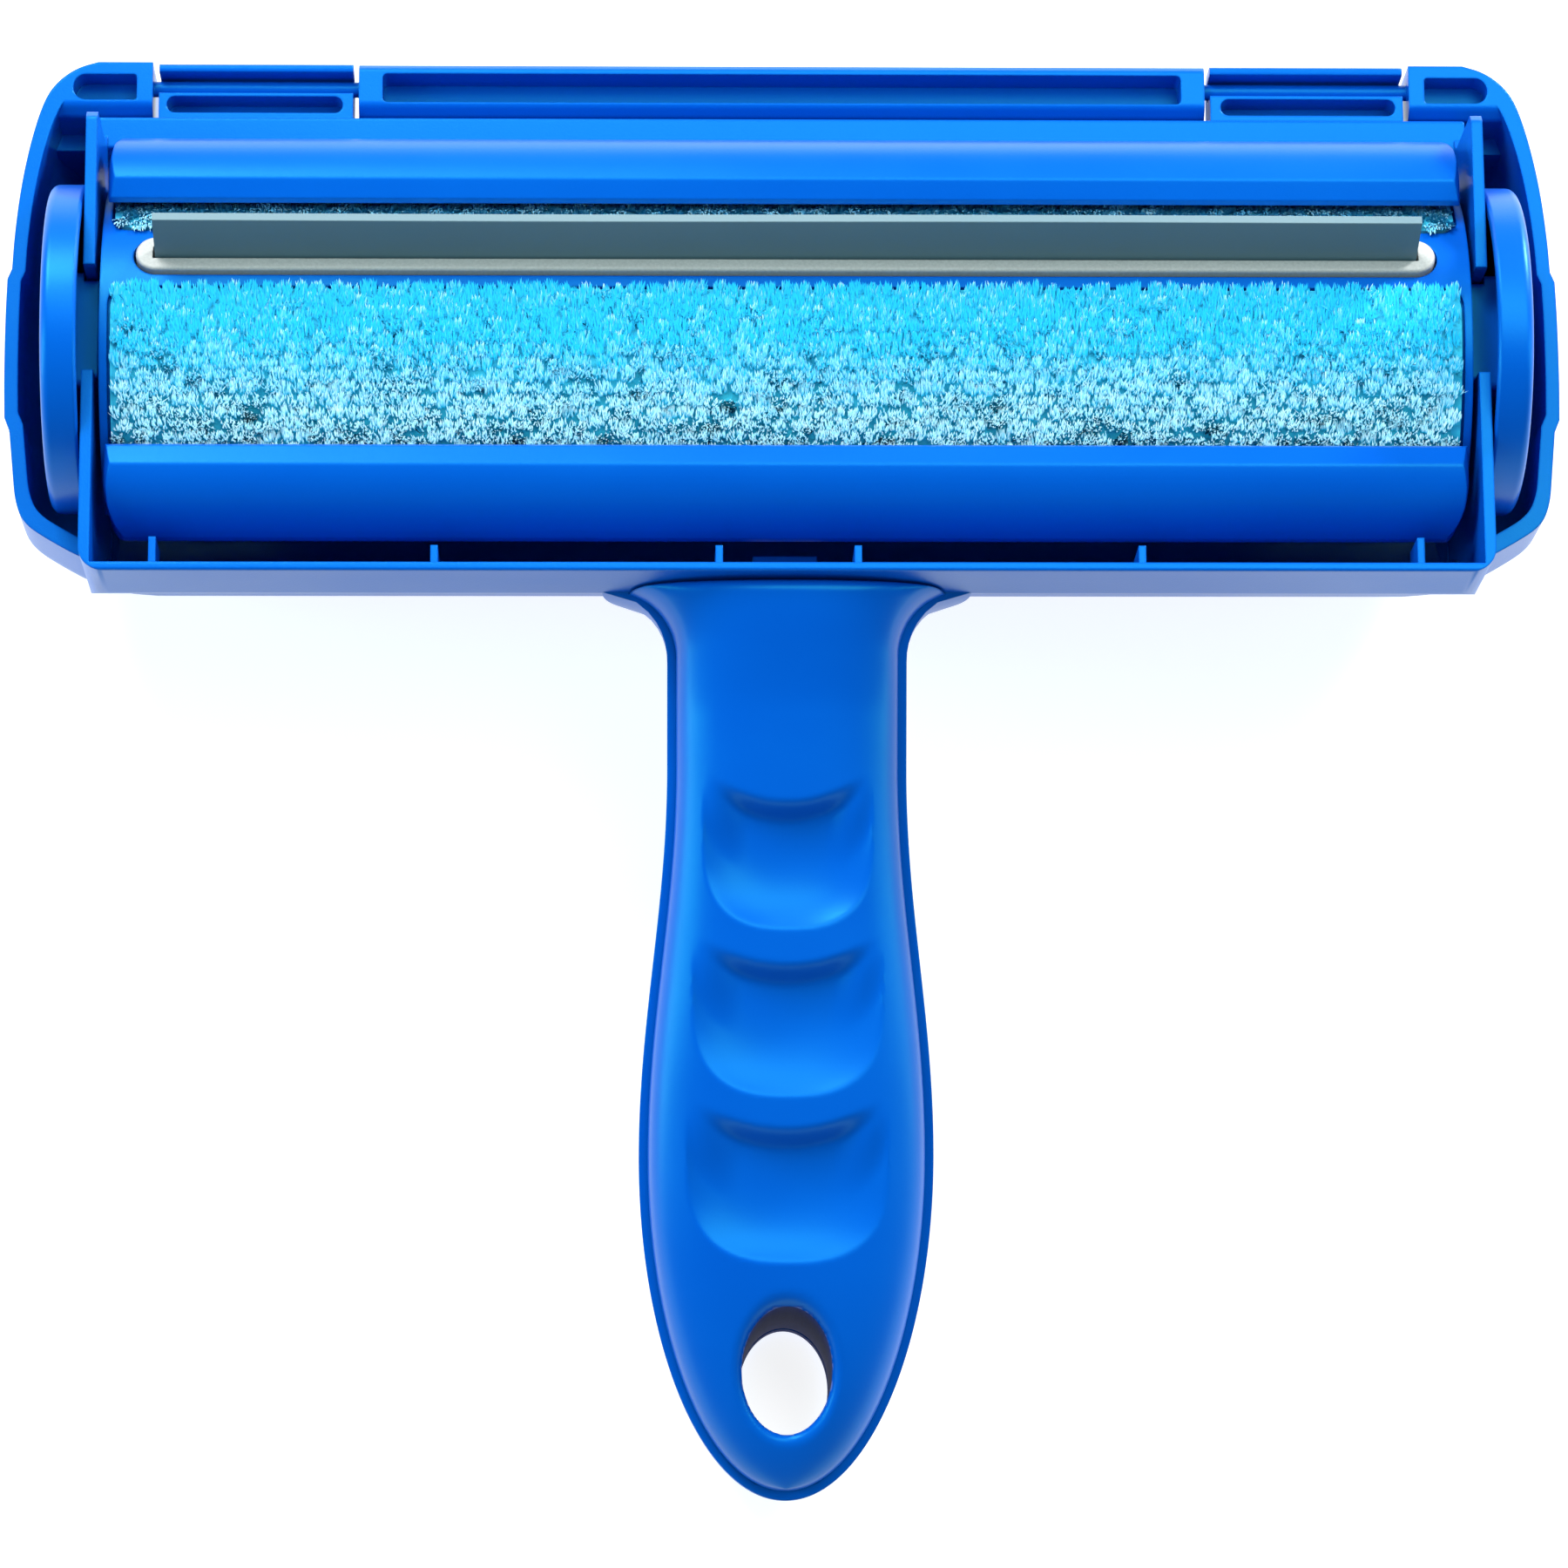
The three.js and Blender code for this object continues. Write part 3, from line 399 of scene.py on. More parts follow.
def hinge_clip():
    """The right trough that the lid's pin snaps into."""
    floor = [(HINGE_Y + HINGE_CHANNEL * math.cos(a), HINGE_Z + HINGE_CHANNEL * math.sin(a))
             for a in np.linspace(0, -math.pi, 17)]
    outside = [(30.5, -0.5), (36.4, -0.5), (37.3, -0.1), (38.4, 1.2), (38.6, 2.0), (38.6, 5.3), (38.3, 5.85),
               (37.9, 6), (37.45, 5.9), (HINGE_Y + HINGE_CHANNEL, 5.6)]
    outline = [*outside, *floor, (HINGE_Y - HINGE_CHANNEL, 5.6), (34.5, 6), (30.5, 6)]
    body = along_x(outline, 54.3, 78.8)
    return body.cut(along_z(rounded_rectangle(55.6, 77.8, 31.9, 34.1, [1.05] * 4), 2, 10))


# The handle slopes down from the head. y runs from its rim at the head to its tip.
TIP, RIM_Y, RIM_Z = -89.6, 17, 41
SLOPE = math.tan(math.radians(16.2))
NECK_HALF, BELLY_HALF, BELLY_Y = 14.8, 18.3, -48.5
NECK_FROM, NECK_TO = -2, 10.9
FLARE_RADIUS = 8
SCREWS = (-16, -57)
BORE_RADIUS = 1.55
HOLE_Y, HOLE_HALF, HOLE_HALF_WIDTH = -74.7, 7.5, 5.6


def half_width(y):
    """Half the handle's width: flared at the head, then a straight neck, a belly and a round tip."""
    y = np.asarray(y, dtype=float)
    rise = np.sqrt(np.maximum(0, FLARE_RADIUS ** 2 - np.maximum(0, y - NECK_TO) ** 2))
    flare = NECK_HALF + FLARE_RADIUS - rise
    share = 0.5 - 0.5 * np.cos(math.pi * (y - NECK_FROM) / (BELLY_Y - NECK_FROM))
    swell = NECK_HALF + (BELLY_HALF - NECK_HALF) * share
    tip = BELLY_HALF * np.sqrt(np.maximum(0, 1 - ((y - BELLY_Y) / (TIP - BELLY_Y)) ** 2))
    return np.select([y > NECK_TO, y > NECK_FROM, y > BELLY_Y], [flare, NECK_HALF, swell], tip)


def parting(y):
    """The height of the seam between the two handle shells."""
    return RIM_Z - (RIM_Y - y) * SLOPE


def rear_depth(y):
    """How far the rear shell reaches below the seam."""
    depth = 13 + 3.2 * smooth(-y, -10, 55)
    return depth * np.sqrt(1 - np.clip((-58 - y) / 31.6, 0, 1) ** 2)


def front_height(y):
    """How far the front shell rises above the seam."""
    crown = 7.2 + 0.8 * smooth(-y, 10, 40)
    return crown * np.sqrt(1 - np.clip((-62 - y) / 27.6, 0, 1) ** 2)


def handle_stations(top, tip, count):
    """Places along the handle that crowd together towards the tip."""
    straight = np.linspace(top, -60, count)
    return np.concatenate([straight, -60 + (tip + 60) * np.sin(np.linspace(0, math.pi / 2, count // 2)[1:])])


def handle_loops(stations, widths, heights, bases, steps, skirt=0.0):
    """Arched loops across the handle; a skirt carries them on past the seam."""
    angles = np.linspace(0, math.pi, steps + 1)
    c, s = np.cos(angles), np.sin(angles)
    loops = []
    for y, width, height, base in zip(stations, widths, heights, bases):
        x = np.sign(c) * width * np.abs(c) ** 0.8
        z = base + height * s ** 0.8
        loop = np.column_stack([x, np.full_like(x, y), z]).tolist()
        if skirt:
            edge = base - math.copysign(skirt, height)
            loop += [[-width, y, edge], [width, y, edge]]
        loops.append(loop)
    return np.array(loops)


def rear_solid(wall, top, tip, count=70, steps=64):
    """The rear shell's outside, or its hollow when wall is its thickness."""
    y = handle_stations(top, tip, count)
    widths = np.maximum(0.4, half_width(y) - wall)
    depths = np.maximum(0.3, rear_depth(y) - wall)
    return loft(handle_loops(y, widths, -depths, parting(y), steps, wall))


def oval_hole(grow, z0, z1):
    outline = [((HOLE_HALF_WIDTH + grow) * a, HOLE_Y + (HOLE_HALF + grow) * b) for a, b in circle(1, 96)]
    return along_z(outline, z0, z1)


def from_hole_centre(x, y):
    """1 on the edge of the hanging hole, less inside it."""
    return np.hypot(x / HOLE_HALF_WIDTH, (y - HOLE_Y) / HOLE_HALF)


def rear_handle():
    inside = [(-20, 40), *BOTTOM_INNER, (BOTTOM_INNER[-1][0], -30), (-20, -30)]
    outer = rear_solid(0, 22.5, TIP).cut(along_x(inside, -40, 40).moved(y=AXIS_Y, z=AXIS_Z))
    shell = outer.cut(rear_solid(2, 18.3, TIP + 2))
    bosses = [rod_z(3.9, 0, parting(y) - 0.5, 0, y).meet(outer) for y in SCREWS]
    bores = [rod_z(BORE_RADIUS, -5, 60, 0, y) for y in SCREWS]
    sinks = [rod_z(3.3, -5, parting(y) - rear_depth(y) + 2.6, 0, y) for y in SCREWS]
    return shell.join(*bosses).cut(*bores, *sinks, oval_hole(0, -5, 60), button_blank(GAP, -30, -5))


BUTTON_Y, BUTTON_HALF, BUTTON_HALF_LENGTH, BUTTON_CORNER = 1, 7, 6.5, 3


def button_outline(grow):
    x, y = BUTTON_HALF + grow, BUTTON_HALF_LENGTH + grow
    return rounded_rectangle(-x, x, -y, y, [BUTTON_CORNER + grow] * 4)


def button_blank(grow, low, high):
    return placed_button(along_z(button_outline(grow), low, high))


def placed_button(solid):
    """The button is drawn flat, and lies along the handle's slope."""
    return solid.turned_x(math.atan(SLOPE)).moved(y=BUTTON_Y, z=parting(BUTTON_Y))


def casing_frame():
    clip = hinge_clip()
    head = on_head(head_ring().join(*wall_ribs(), clip, clip.mirrored_x()))
    tongue_window = box(-4.6, 4.6, 16.9, 24, 29.4, 38.5)
    return head.join(rear_handle()).cut(tongue_window)


# ---------------------------------------------------------------- front handle shell
# Each finger hollow: the level of its widest point, its half width and how far it reaches down from there.
HOLLOWS = [(-13.6, 10.4, 9.0), (-32.9, 11.7, 9.6), (-52.4, 12.4, 9.8)]
HOLLOW_DEPTH, HOLLOW_WALL = 2.9, 0.15  # the wall is the steep share of its length at the upper end
FRONT_TOP, FRONT_LEDGE = 18.6, 1.1


def hollow_depth(x, y):
    """How deep the finger hollows sink the crown: a smile-shaped upper wall and a crisp lower rim."""
    depth = np.zeros_like(x)
    for level, width, reach in HOLLOWS:
        across = np.clip(np.abs(x) / width, 0, 1)
        low = level - reach * (1 - across ** 2.6) ** (1 / 2.2)
        high = level + 6.3 + 4.2 * across ** 2
        t = np.clip((high - y) / np.maximum(high - low, 0.01), 0, 1)
        inside = (y < high) & (y > low) & (np.abs(x) < width)
        floor = 1 - (np.maximum(t - HOLLOW_WALL, 0) / (1 - HOLLOW_WALL)) ** 2.8
        fall = np.where(t < HOLLOW_WALL, smooth(t, 0, HOLLOW_WALL), floor)
        side = (1 - across ** 3.2) ** 0.85
        side *= 1 - smooth(across, 0.45, 1.0) * (1 - smooth(t, 0.12, 0.6))
        depth += np.where(inside, HOLLOW_DEPTH * fall * side, 0)
    return depth


def front_half_width(y):
    """The front shell stands a ledge inside the rear one, and closes to a round tip of its own."""
    share = (y - BELLY_Y) / (TIP + FRONT_LEDGE - BELLY_Y)
    tip = (BELLY_HALF - FRONT_LEDGE) * np.sqrt(np.maximum(0, 1 - share ** 2))
    return np.where(y < BELLY_Y, tip, half_width(y) - FRONT_LEDGE)


def rolled_edge(distance, radius):
    """How far a surface has rolled down at a distance inside an edge of that radius."""
    d = np.clip(distance, 0, radius)
    return radius - np.sqrt(np.maximum(0, radius ** 2 - (radius - d) ** 2))


def front_outer():
    rolled = FRONT_TOP - np.linspace(0, 2.2, 14)
    y = np.concatenate([rolled, handle_stations(16.1, TIP + FRONT_LEDGE, 200)])
    widths = np.maximum(0.3, front_half_width(y))
    loops = handle_loops(y, widths, np.maximum(0.3, front_height(y)), parting(y) + GAP, 128)
    x, yy, z = loops[..., 0], loops[..., 1], loops[..., 2]
    above = np.clip((z - parting(yy) - GAP) / 4, 0, 1)
    z += 1.3 * smooth(yy, 3, FRONT_TOP) * above
    from_hole = (from_hole_centre(x, yy) - 1) * 6.4
    sink = hollow_depth(x, yy) + rolled_edge(from_hole, 1.7) + 1.1 * rolled_edge(18.7 - yy, 1.9)
    loops[..., 2] = z - sink
    return loft(loops)


def front_handle():
    outer = front_outer()
    y = handle_stations(16.3, TIP + 3.1, 60)
    widths = np.maximum(0.3, front_half_width(y) - 2)
    heights = np.maximum(0.3, front_height(y) - 4.6)
    shell = outer.cut(loft(handle_loops(y, widths, heights, parting(y) + GAP, 48, 2)))
    tube = oval_hole(1.6, parting(HOLE_Y) - rear_depth(HOLE_Y) + 3.4, 40)
    inside = rear_solid(2.3, 18, TIP + 2.3, 40, 40)
    parts = [tube.meet(outer.join(inside))]
    parts += [rod_z(3.3, parting(y), 60, 0, y).meet(outer) for y in SCREWS]
    parts.append(rod_z(1.2, 38, 60, 0, BUTTON_Y, 32).meet(outer))
    bores = [rod_z(BORE_RADIUS, -5, parting(y) + 4.4, 0, y) for y in SCREWS]
    return shell.join(*parts).cut(*bores, oval_hole(0, -5, 60))


# ---------------------------------------------------------------- lid
# The right half of its outline runs from the hinge round the shoulder, the wheel's pod and the low corner.
LID_CORNER = [(0, 31), (79.6, 31), (79.6, 38.6)]
LID_SHOULDER = [
    (86.5, 38.6), (89.2, 37.8), (91.6, 36), (93.2, 33.6),
    (94.7, 28.5), (95.9, 22.2), (96.6, 15.5), (96.8, 11.2)]
LID_POD = [(97.35, 9.9), (97.5, 5), (97.5, -3), (97.35, -8.2)]
LID_LOW = [
    (96.7, -9.8), (96.2, -15), (95.8, -19.2), (94.6, -22),
    (91.2, -24.2), (87.6, -26.2), (84, -27.5), (80, -27.8)]
LID_DEEP = 26


def lid_outline():
    flowing = []
    for control in (LID_SHOULDER, LID_POD, LID_LOW):
        flowing.append(control[0])
        for i in range(1, len(control) - 1):
            before, here, after = (np.array(control[i + k], dtype=float) for k in (-1, 0, 1))
            flowing += bend((before + here) / 2, here, (here + after) / 2, 6)[:-1]
        flowing.append(control[-1])
    return LID_CORNER + flowing + [(0, LID_LOW[-1][1])]


LID_HALF = lid_outline()


def lid_loop(z, inset):
    """The whole outline at a height, drawn in by an inset."""
    sx, sy = (97.5 - inset) / 97.5, (33.6 - inset) / 33.6
    right = [(x * sx, 5 + (y - 5) * sy) for x, y in LID_HALF]
    left = [(-x, y) for x, y in right[1:-1]][::-1]
    return [(x, y, z) for x, y in right + left]


def lid_dome(thickness, top):
    """The lid's outside, or its hollow when thickness is that of its wall."""
    roll = LID_DEEP - thickness
    loops = [lid_loop(top, thickness)]
    for t in np.linspace(0, math.pi / 2, 25):
        z = -AXIS_Z + thickness + roll * (1 - math.sin(t) ** 1.15)
        loops.append(lid_loop(z, thickness + 16 * (1 - math.cos(t)) ** 0.9))
    return loft(loops)


BLOCK_SECTION = filleted(
    [(29.6, -14), (33, -12), (37.4, -7.5), (38.6, -5), (38.6, 5.2),
     (37.8, 6), (33, 6), (31.7, 4.6), (31.7, -2.3), (29.6, -2.3)],
    [0, 2, 2, 2, 0.8, 0.8, 1.4, 1.4, 0, 0])


def lid_moulding():
    """The dome, with the frame's seat and the hinge clips' gaps cut out and the hinge blocks added."""
    outer = lid_dome(0, 6)
    seat = box(-86.8, 86.8, -40, 31.4, -2.3, 20)
    clip_gap = box(53.9, 79.6, 31.2, 45, -40, 20)
    shell = outer.cut(lid_dome(1.7, 7), seat, clip_gap, clip_gap.mirrored_x())
    partition = box(85, 86.4, -40, 31, -29.5, -10.3).meet(outer)
    corner = along_x(BLOCK_SECTION, 79.6, 96).meet(outer)
    rod = rod_x(1, 52.6, 80.6, HINGE_Y, HINGE_Z, 40)
    tongue_room = outer.moved(y=1.2).join(box(-5, 5, -27, -25, -8, 5))
    tongue = box(-4, 4, -26.6, -25.2, -26, 3).meet(tongue_room)
    recess = along_z(rounded_rectangle(-50.6, 50.6, 33.4, 37.2, [0.6] * 4), 1.2, 10)
    pocket = along_z(rounded_rectangle(81.6, 89.6, 33.6, 37, [0.4, 1.6, 1.6, 0.4]), 2, 10)
    whole = shell.join(partition, partition.mirrored_x(), along_x(BLOCK_SECTION, -53.6, 53.6),
                       corner, corner.mirrored_x(), rod, rod.mirrored_x(), tongue)
    return whole.cut(recess, pocket, pocket.mirrored_x())


# ---------------------------------------------------------------- bearing caps, end wheels and clips
WHEEL_Z, WHEEL_RADIUS, WHEEL_FACE, WHEEL_EDGE = 8, 20.5, 91.2, 1.1


def cap_block(half, corner, x0, x1):
    outline = [(-half, GAP), (half, GAP), (half, 17), (-half, 17)]
    return along_x(filleted(outline, [0, 0, corner, corner]), x0, x1)


def bearing_cap():
    """Closes the wall's notch over the journal, and carries the wheel's axle."""
    tongue = cap_block(6.3, 0.6, 84.9, 86.81)
    flange = cap_block(7.4, 1, 86.8, 88.6)
    axle = rod_x(2.4, 86.8, 91, 0, WHEEL_Z)
    neck = rod_x(1.9, 90.5, 92.4, 0, WHEEL_Z)
    bore = rod_x(JOURNAL_RADIUS + GAP, 80, 90, 0, 0)
    return tongue.join(flange).cut(bore).join(axle, neck)


def end_wheel():
    inside = [(2.7, 88.9), (4.6, 88.9), (4.6, 89.6), (18.9, 89.6), (18.9, 87.0), (19.1, 86.8), (20.2, 86.8),
              (WHEEL_RADIUS, 87.1)]
    edge = [(WHEEL_RADIUS - WHEEL_EDGE * (1 - math.cos(t)), WHEEL_FACE - WHEEL_EDGE * (1 - math.sin(t)))
            for t in np.linspace(0, math.pi / 2, 8)]
    face = [(17.3, WHEEL_FACE), (16.9, 91.0), (16.6, 90.7), (6.0, 90.7), (5.7, 91.0), (5.4, WHEEL_FACE),
            (2.7, WHEEL_FACE)]
    return revolved(inside + edge + face, WHEEL_Z)


def wheel_clip():
    profile = [(2.2, 91.5), (4.2, 91.5), (4.2, 92.2), (4.1, 92.5), (3.8, 92.6), (2.2, 92.6)]
    return revolved(profile, WHEEL_Z, 64)


def release_button():
    """The thumb pad with a flange inside the shell, a finger that frees the lid and a seat for the spring."""
    loops = []
    for z, pull in [(-8, 0), (-14.1, 0), (-14.4, 0.15), (-14.6, 0.6)]:
        loops.append([(x, y, z) for x, y in button_outline(-pull)])
    flange = box(-8.6, 8.6, -7.6, 7.6, -8.4, -7.2)
    finger = box(-3, 3, 6, 19, -7.9, -6.4)
    spring_seat = rod_z(3.6, -8, -4.4, 0, 0)
    grips = [rod_x(0.7, -4.5, 4.5, y, -14.9, 24) for y in (-2.4, 0, 2.4)]
    spring_room = rod_z(2.9, -12, 0, 0, 0)
    return placed_button(loft(loops).join(flange, finger, spring_seat).cut(*grips, spring_room))


# ---------------------------------------------------------------- velour pile
FIBRES = 46  # in each tuft
FIBRE_LENGTH, FIBRE_LEAN, FIBRE_HALF_WIDTH = 1.65, 0.78, 0.12
PITCH_X, PITCH_S = 2.05, 1.52  # between tufts, along the drum and round it
TUFT_X, TUFT_S = 1.0, 0.74  # a tuft's half sizes
CLOTH_TOP, PILE_TOP = 22.9, 24.15


def pile(side, seed):
    """Tufts of leaning fibres on one lint pad; the nap lies towards the blade.

    s runs round the drum, away from the blade. Each fibre is a thin strip that narrows to a point.
    """
    draw = np.random.default_rng(seed)
    low, high = NAP_FROM * CLOTH_TOP, NAP_TO * CLOTH_TOP
    rows = np.arange(low + 0.8, high - 0.3, PITCH_S)
    centres = []
    for k, s in enumerate(rows):
        columns = np.arange(-NAP_HALF + 0.9 + (k % 2) * PITCH_X / 2, NAP_HALF - 0.4, PITCH_X)
        centres.append(np.column_stack([columns, np.full_like(columns, s)]))
    centres = np.concatenate(centres)
    centres += draw.normal(0, 0.17, centres.shape)
    tuft_tone = draw.random(len(centres))
    tuft_lean = draw.normal(0, 0.2, len(centres))

    count = len(centres) * FIBRES
    tuft = np.repeat(np.arange(len(centres)), FIBRES)
    spread, turn = np.sqrt(draw.random(count)), draw.random(count) * 2 * math.pi
    du, dv = spread * np.cos(turn), spread * np.sin(turn)
    x = centres[tuft, 0] + TUFT_X * du
    s = centres[tuft, 1] + TUFT_S * dv
    from_edge = np.minimum(NAP_HALF - np.abs(x), np.minimum(s - low, high - s))
    keep = from_edge > 0.05
    x, s, du, dv, tuft = (values[keep] for values in (x, s, du, dv, tuft))
    count = len(x)

    lean = FIBRE_LEAN + tuft_lean[tuft] - 0.16 * dv + draw.normal(0, 0.12, count)
    length = FIBRE_LENGTH + draw.normal(0, 0.1, count) - 0.45 * (du ** 2 + dv ** 2)
    splay = 0.05 * du + draw.normal(0, 0.13, count) + 0.12 * (tuft_tone[tuft] - 0.5)
    stray = draw.random(count) < 0.02
    splay = np.where(stray, splay * 3, splay)
    lean = np.where(stray, lean + draw.normal(0, 0.5, count), lean)
    limit = PILE_TOP - CLOTH_TOP

    def place(share, bend):
        rise = np.minimum(length * share * np.cos(lean * bend), limit)
        back = length * share * np.sin(lean * bend)
        return x + splay * length * share ** 1.5, s - back, CLOTH_TOP - 0.15 + rise + 0.15 * share

    twist = draw.normal(0, 0.4, count)
    wide = FIBRE_HALF_WIDTH + 0.03 * draw.random(count)
    rings = []
    for share, bend, width in ((0.0, 0.3, 1.0), (0.6, 0.75, 0.85)):
        px, ps, pr = place(share, bend)
        for sign in (-1, 1):
            reach = sign * wide * width
            rings.append((px + reach * np.cos(twist), ps + reach * np.sin(twist), pr))
    rings.append(place(1.0, 1.0))
    points = np.empty((count, 5, 3))
    for i, (px, ps, pr) in enumerate(rings):
        angle = ps / CLOTH_TOP
        points[:, i] = np.column_stack([px, side * pr * np.sin(angle), pr * np.cos(angle)])
    start = np.arange(count) * 5
    faces = np.concatenate([
        np.column_stack([start, start + 1, start + 3]), np.column_stack([start, start + 3, start + 2]),
        np.column_stack([start + 2, start + 3, start + 4])])
    if side > 0:
        faces = faces[:, ::-1]
    # Painted sheen on the tips: paler away from the blade on the lower pad, on each tuft's blade side, and on
    # the front fibres of light tufts near the blade; the upper pad gets one even paleness, painted light
    # against the shade under the bar. Tuft tone and noise are random tone.
    front = np.clip(-dv * 0.5 + 0.5, 0, 1)
    painted_light_zone = smooth(s, low + 5, high - 6) if side < 0 else np.full_like(s, 0.55)
    painted_sheen_and_tone = np.clip(0.99 * painted_light_zone - 0.06 + 0.3 * painted_light_zone * (front - 0.5) + 0.24 * (tuft_tone[tuft] - 0.5)
                   + draw.normal(0, 0.14, count), 0, 1)
    painted_sheen_and_tone = np.where((front > 0.86) & (painted_light_zone < 0.5) & (tuft_tone[tuft] > 0.5), np.maximum(painted_sheen_and_tone, 0.6), painted_sheen_and_tone)
    along = np.tile([0.0, 0.0, 0.6, 0.6, 1.0], count)
    return points.reshape(-1, 3), faces, along, np.repeat(painted_sheen_and_tone, 5)


# ---------------------------------------------------------------- materials
class Nodes:
    """A short way to build a material's node tree."""

    def __init__(self, name):
        self.material = bpy.data.materials.new(name)
        self.material.use_nodes = True
        self.tree = self.material.node_tree
        self.shader = self.tree.nodes["Principled BSDF"]
        self.where = self.add("ShaderNodeTexCoord").outputs["Object"]

    def add(self, kind, inputs=None, **settings):
        node = self.tree.nodes.new(kind)
        for key, value in settings.items():
            setattr(node, key, value)
        for key, value in (inputs or {}).items():
            self.set(node.inputs[key], value)
        return node

    def set(self, socket, value):
        if isinstance(value, bpy.types.NodeSocket):
            self.tree.links.new(value, socket)
        else:
            socket.default_value = value

    def noise(self, scale, detail=2.0, roughness=0.5, stretch=None):
        where = self.where
        if stretch:
            where = self.add("ShaderNodeMapping", {"Vector": where, "Scale": stretch}).outputs["Vector"]
        inputs = {"Vector": where, "Scale": scale, "Detail": detail, "Roughness": roughness}
        return self.add("ShaderNodeTexNoise", inputs).outputs["Fac"]

    def ranged(self, value, low, high, start=0.3, end=0.7):
        inputs = {"Value": value, "From Min": start, "From Max": end, "To Min": low, "To Max": high}
        return self.add("ShaderNodeMapRange", inputs).outputs["Result"]

    def mixed(self, factor, first, second):
        node = self.add("ShaderNodeMix", {"Factor": factor}, data_type="RGBA")
        self.set(node.inputs[6], first)
        self.set(node.inputs[7], second)
        return node.outputs[2]

    def bump(self, height, strength, distance, normal=None):
        inputs = {"Height": height, "Strength": strength, "Distance": distance}
        if normal:
            inputs["Normal"] = normal
        return self.add("ShaderNodeBump", inputs).outputs["Normal"]

    def finish(self, **sockets):
        for key, value in sockets.items():
            self.set(self.shader.inputs[key.replace("_", " ")], value)
        return self.material


BLUE_TINT = (0.06, 0.92, 0.75, 1)
BLUE_DEEP, BLUE_LIGHT = (0.0, 0.072, 0.46, 1), (0.0, 0.083, 0.49, 1)


def blue_plastic(name, grain, edge=0.35, roughness=0.32):
    """Moulded satin plastic: spark-eroded grain, faint flow marks and softened edges."""
    n = Nodes(name)
    broad = n.noise(45, 3, stretch=(0.5, 1, 1))
    fine = n.noise(3600, 2, 0.6)
    colour = n.mixed(n.ranged(broad, 0, 1), BLUE_DEEP, BLUE_LIGHT)
    rough = n.ranged(broad, roughness - 0.04, roughness + 0.05)
    soft = n.add("ShaderNodeBevel", {"Radius": edge * MM}, samples=4).outputs["Normal"]
    normal = n.bump(fine, grain, 0.03 * MM, n.bump(broad, 0.12, 0.05 * MM, soft))
    return n.finish(Base_Color=colour, Roughness=rough, Normal=normal, Specular_Tint=BLUE_TINT, IOR=1.5)


def bore_painted_shade():
    """The inside of the hanging hole: a near-black blue that is painted shade, on a matt finish with weak
    gloss.
    """
    n = Nodes("bore painted shade")
    fine = n.noise(2600, 2, 0.6)
    colour = n.mixed(n.ranged(fine, 0, 1), (0.0, 0.012, 0.12, 1), (0.0, 0.02, 0.16, 1))
    normal = n.bump(fine, 0.3, 0.03 * MM)
    return n.finish(Base_Color=colour, Roughness=0.7, Normal=normal, Specular_IOR_Level=0.12)


def grey_plastic():
    n = Nodes("grey plastic")
    broad, fine = n.noise(60, 3), n.noise(2600, 2, 0.7)
    colour = n.mixed(n.ranged(fine, 0, 1), (0.36, 0.37, 0.355, 1), (0.44, 0.45, 0.43, 1))
    soft = n.add("ShaderNodeBevel", {"Radius": 0.2 * MM}, samples=4).outputs["Normal"]
    normal = n.bump(fine, 0.3, 0.03 * MM, soft)
    return n.finish(Base_Color=colour, Roughness=n.ranged(broad, 0.5, 0.62), Normal=normal)


# Painted shade: the blade's lip is coloured a dark slate grey, darker than its grey holder, for the shade on
# its side faces; the streaks are random tone.
def rubber_with_painted_shade():
    n = Nodes("rubber with painted shade")
    broad, fine = n.noise(70, 3, stretch=(0.35, 1, 1)), n.noise(2200, 2, 0.6)
    colour = n.mixed(n.ranged(broad, 0, 1), (0.110, 0.190, 0.230, 1), (0.130, 0.205, 0.240, 1))
    normal = n.bump(fine, 0.2, 0.02 * MM)
    return n.finish(Base_Color=colour, Roughness=n.ranged(broad, 0.5, 0.66), Normal=normal)


def velour_cloth():
    """The woven ground under the pile, in tuft rows."""
    n = Nodes("velour ground")
    cells = {"Vector": n.where, "Scale": 620.0, "Randomness": 0.5}
    weave = n.add("ShaderNodeTexVoronoi", cells).outputs["Distance"]
    colour = n.mixed(n.ranged(weave, 0, 1, 0.1, 0.8), (0.03, 0.58, 0.78, 1), (0.0, 0.34, 0.56, 1))
    return n.finish(Base_Color=colour, Roughness=0.9, Normal=n.bump(weave, 0.8, 0.4 * MM), Sheen_Weight=0.3)


def velour_pile():
    """Fibres darkened at the root as painted shade, cyan along their length, and paler at the tip as painted
    sheen mixed with random tone.
    """
    n = Nodes("velour pile")
    along = n.add("ShaderNodeAttribute", attribute_name="along").outputs["Fac"]
    painted_sheen_and_tone = n.add("ShaderNodeAttribute", attribute_name="painted_sheen_and_tone").outputs["Fac"]
    # The darker root colour is painted shade deep in the pile; the whitish tip colour mixed in below is
    # painted sheen.
    body = n.mixed(n.ranged(along, 0, 1, 0.0, 0.6), (0.0, 0.34, 0.60, 1), (0.0, 0.42, 0.74, 1))
    shares = {0: painted_sheen_and_tone, 1: n.ranged(along, 0, 1, 0.25, 0.95)}
    lit = n.add("ShaderNodeMath", shares, operation="MULTIPLY").outputs[0]
    speck = n.noise(1800, 1)
    tip = n.mixed(n.ranged(speck, 0, 1), (0.50, 0.95, 0.97, 1), (0.80, 1.0, 1.0, 1))
    return n.finish(Base_Color=n.mixed(lit, body, tip), Roughness=0.7, Specular_IOR_Level=0.2,
                    Sheen_Weight=0.08, Sheen_Roughness=0.4)


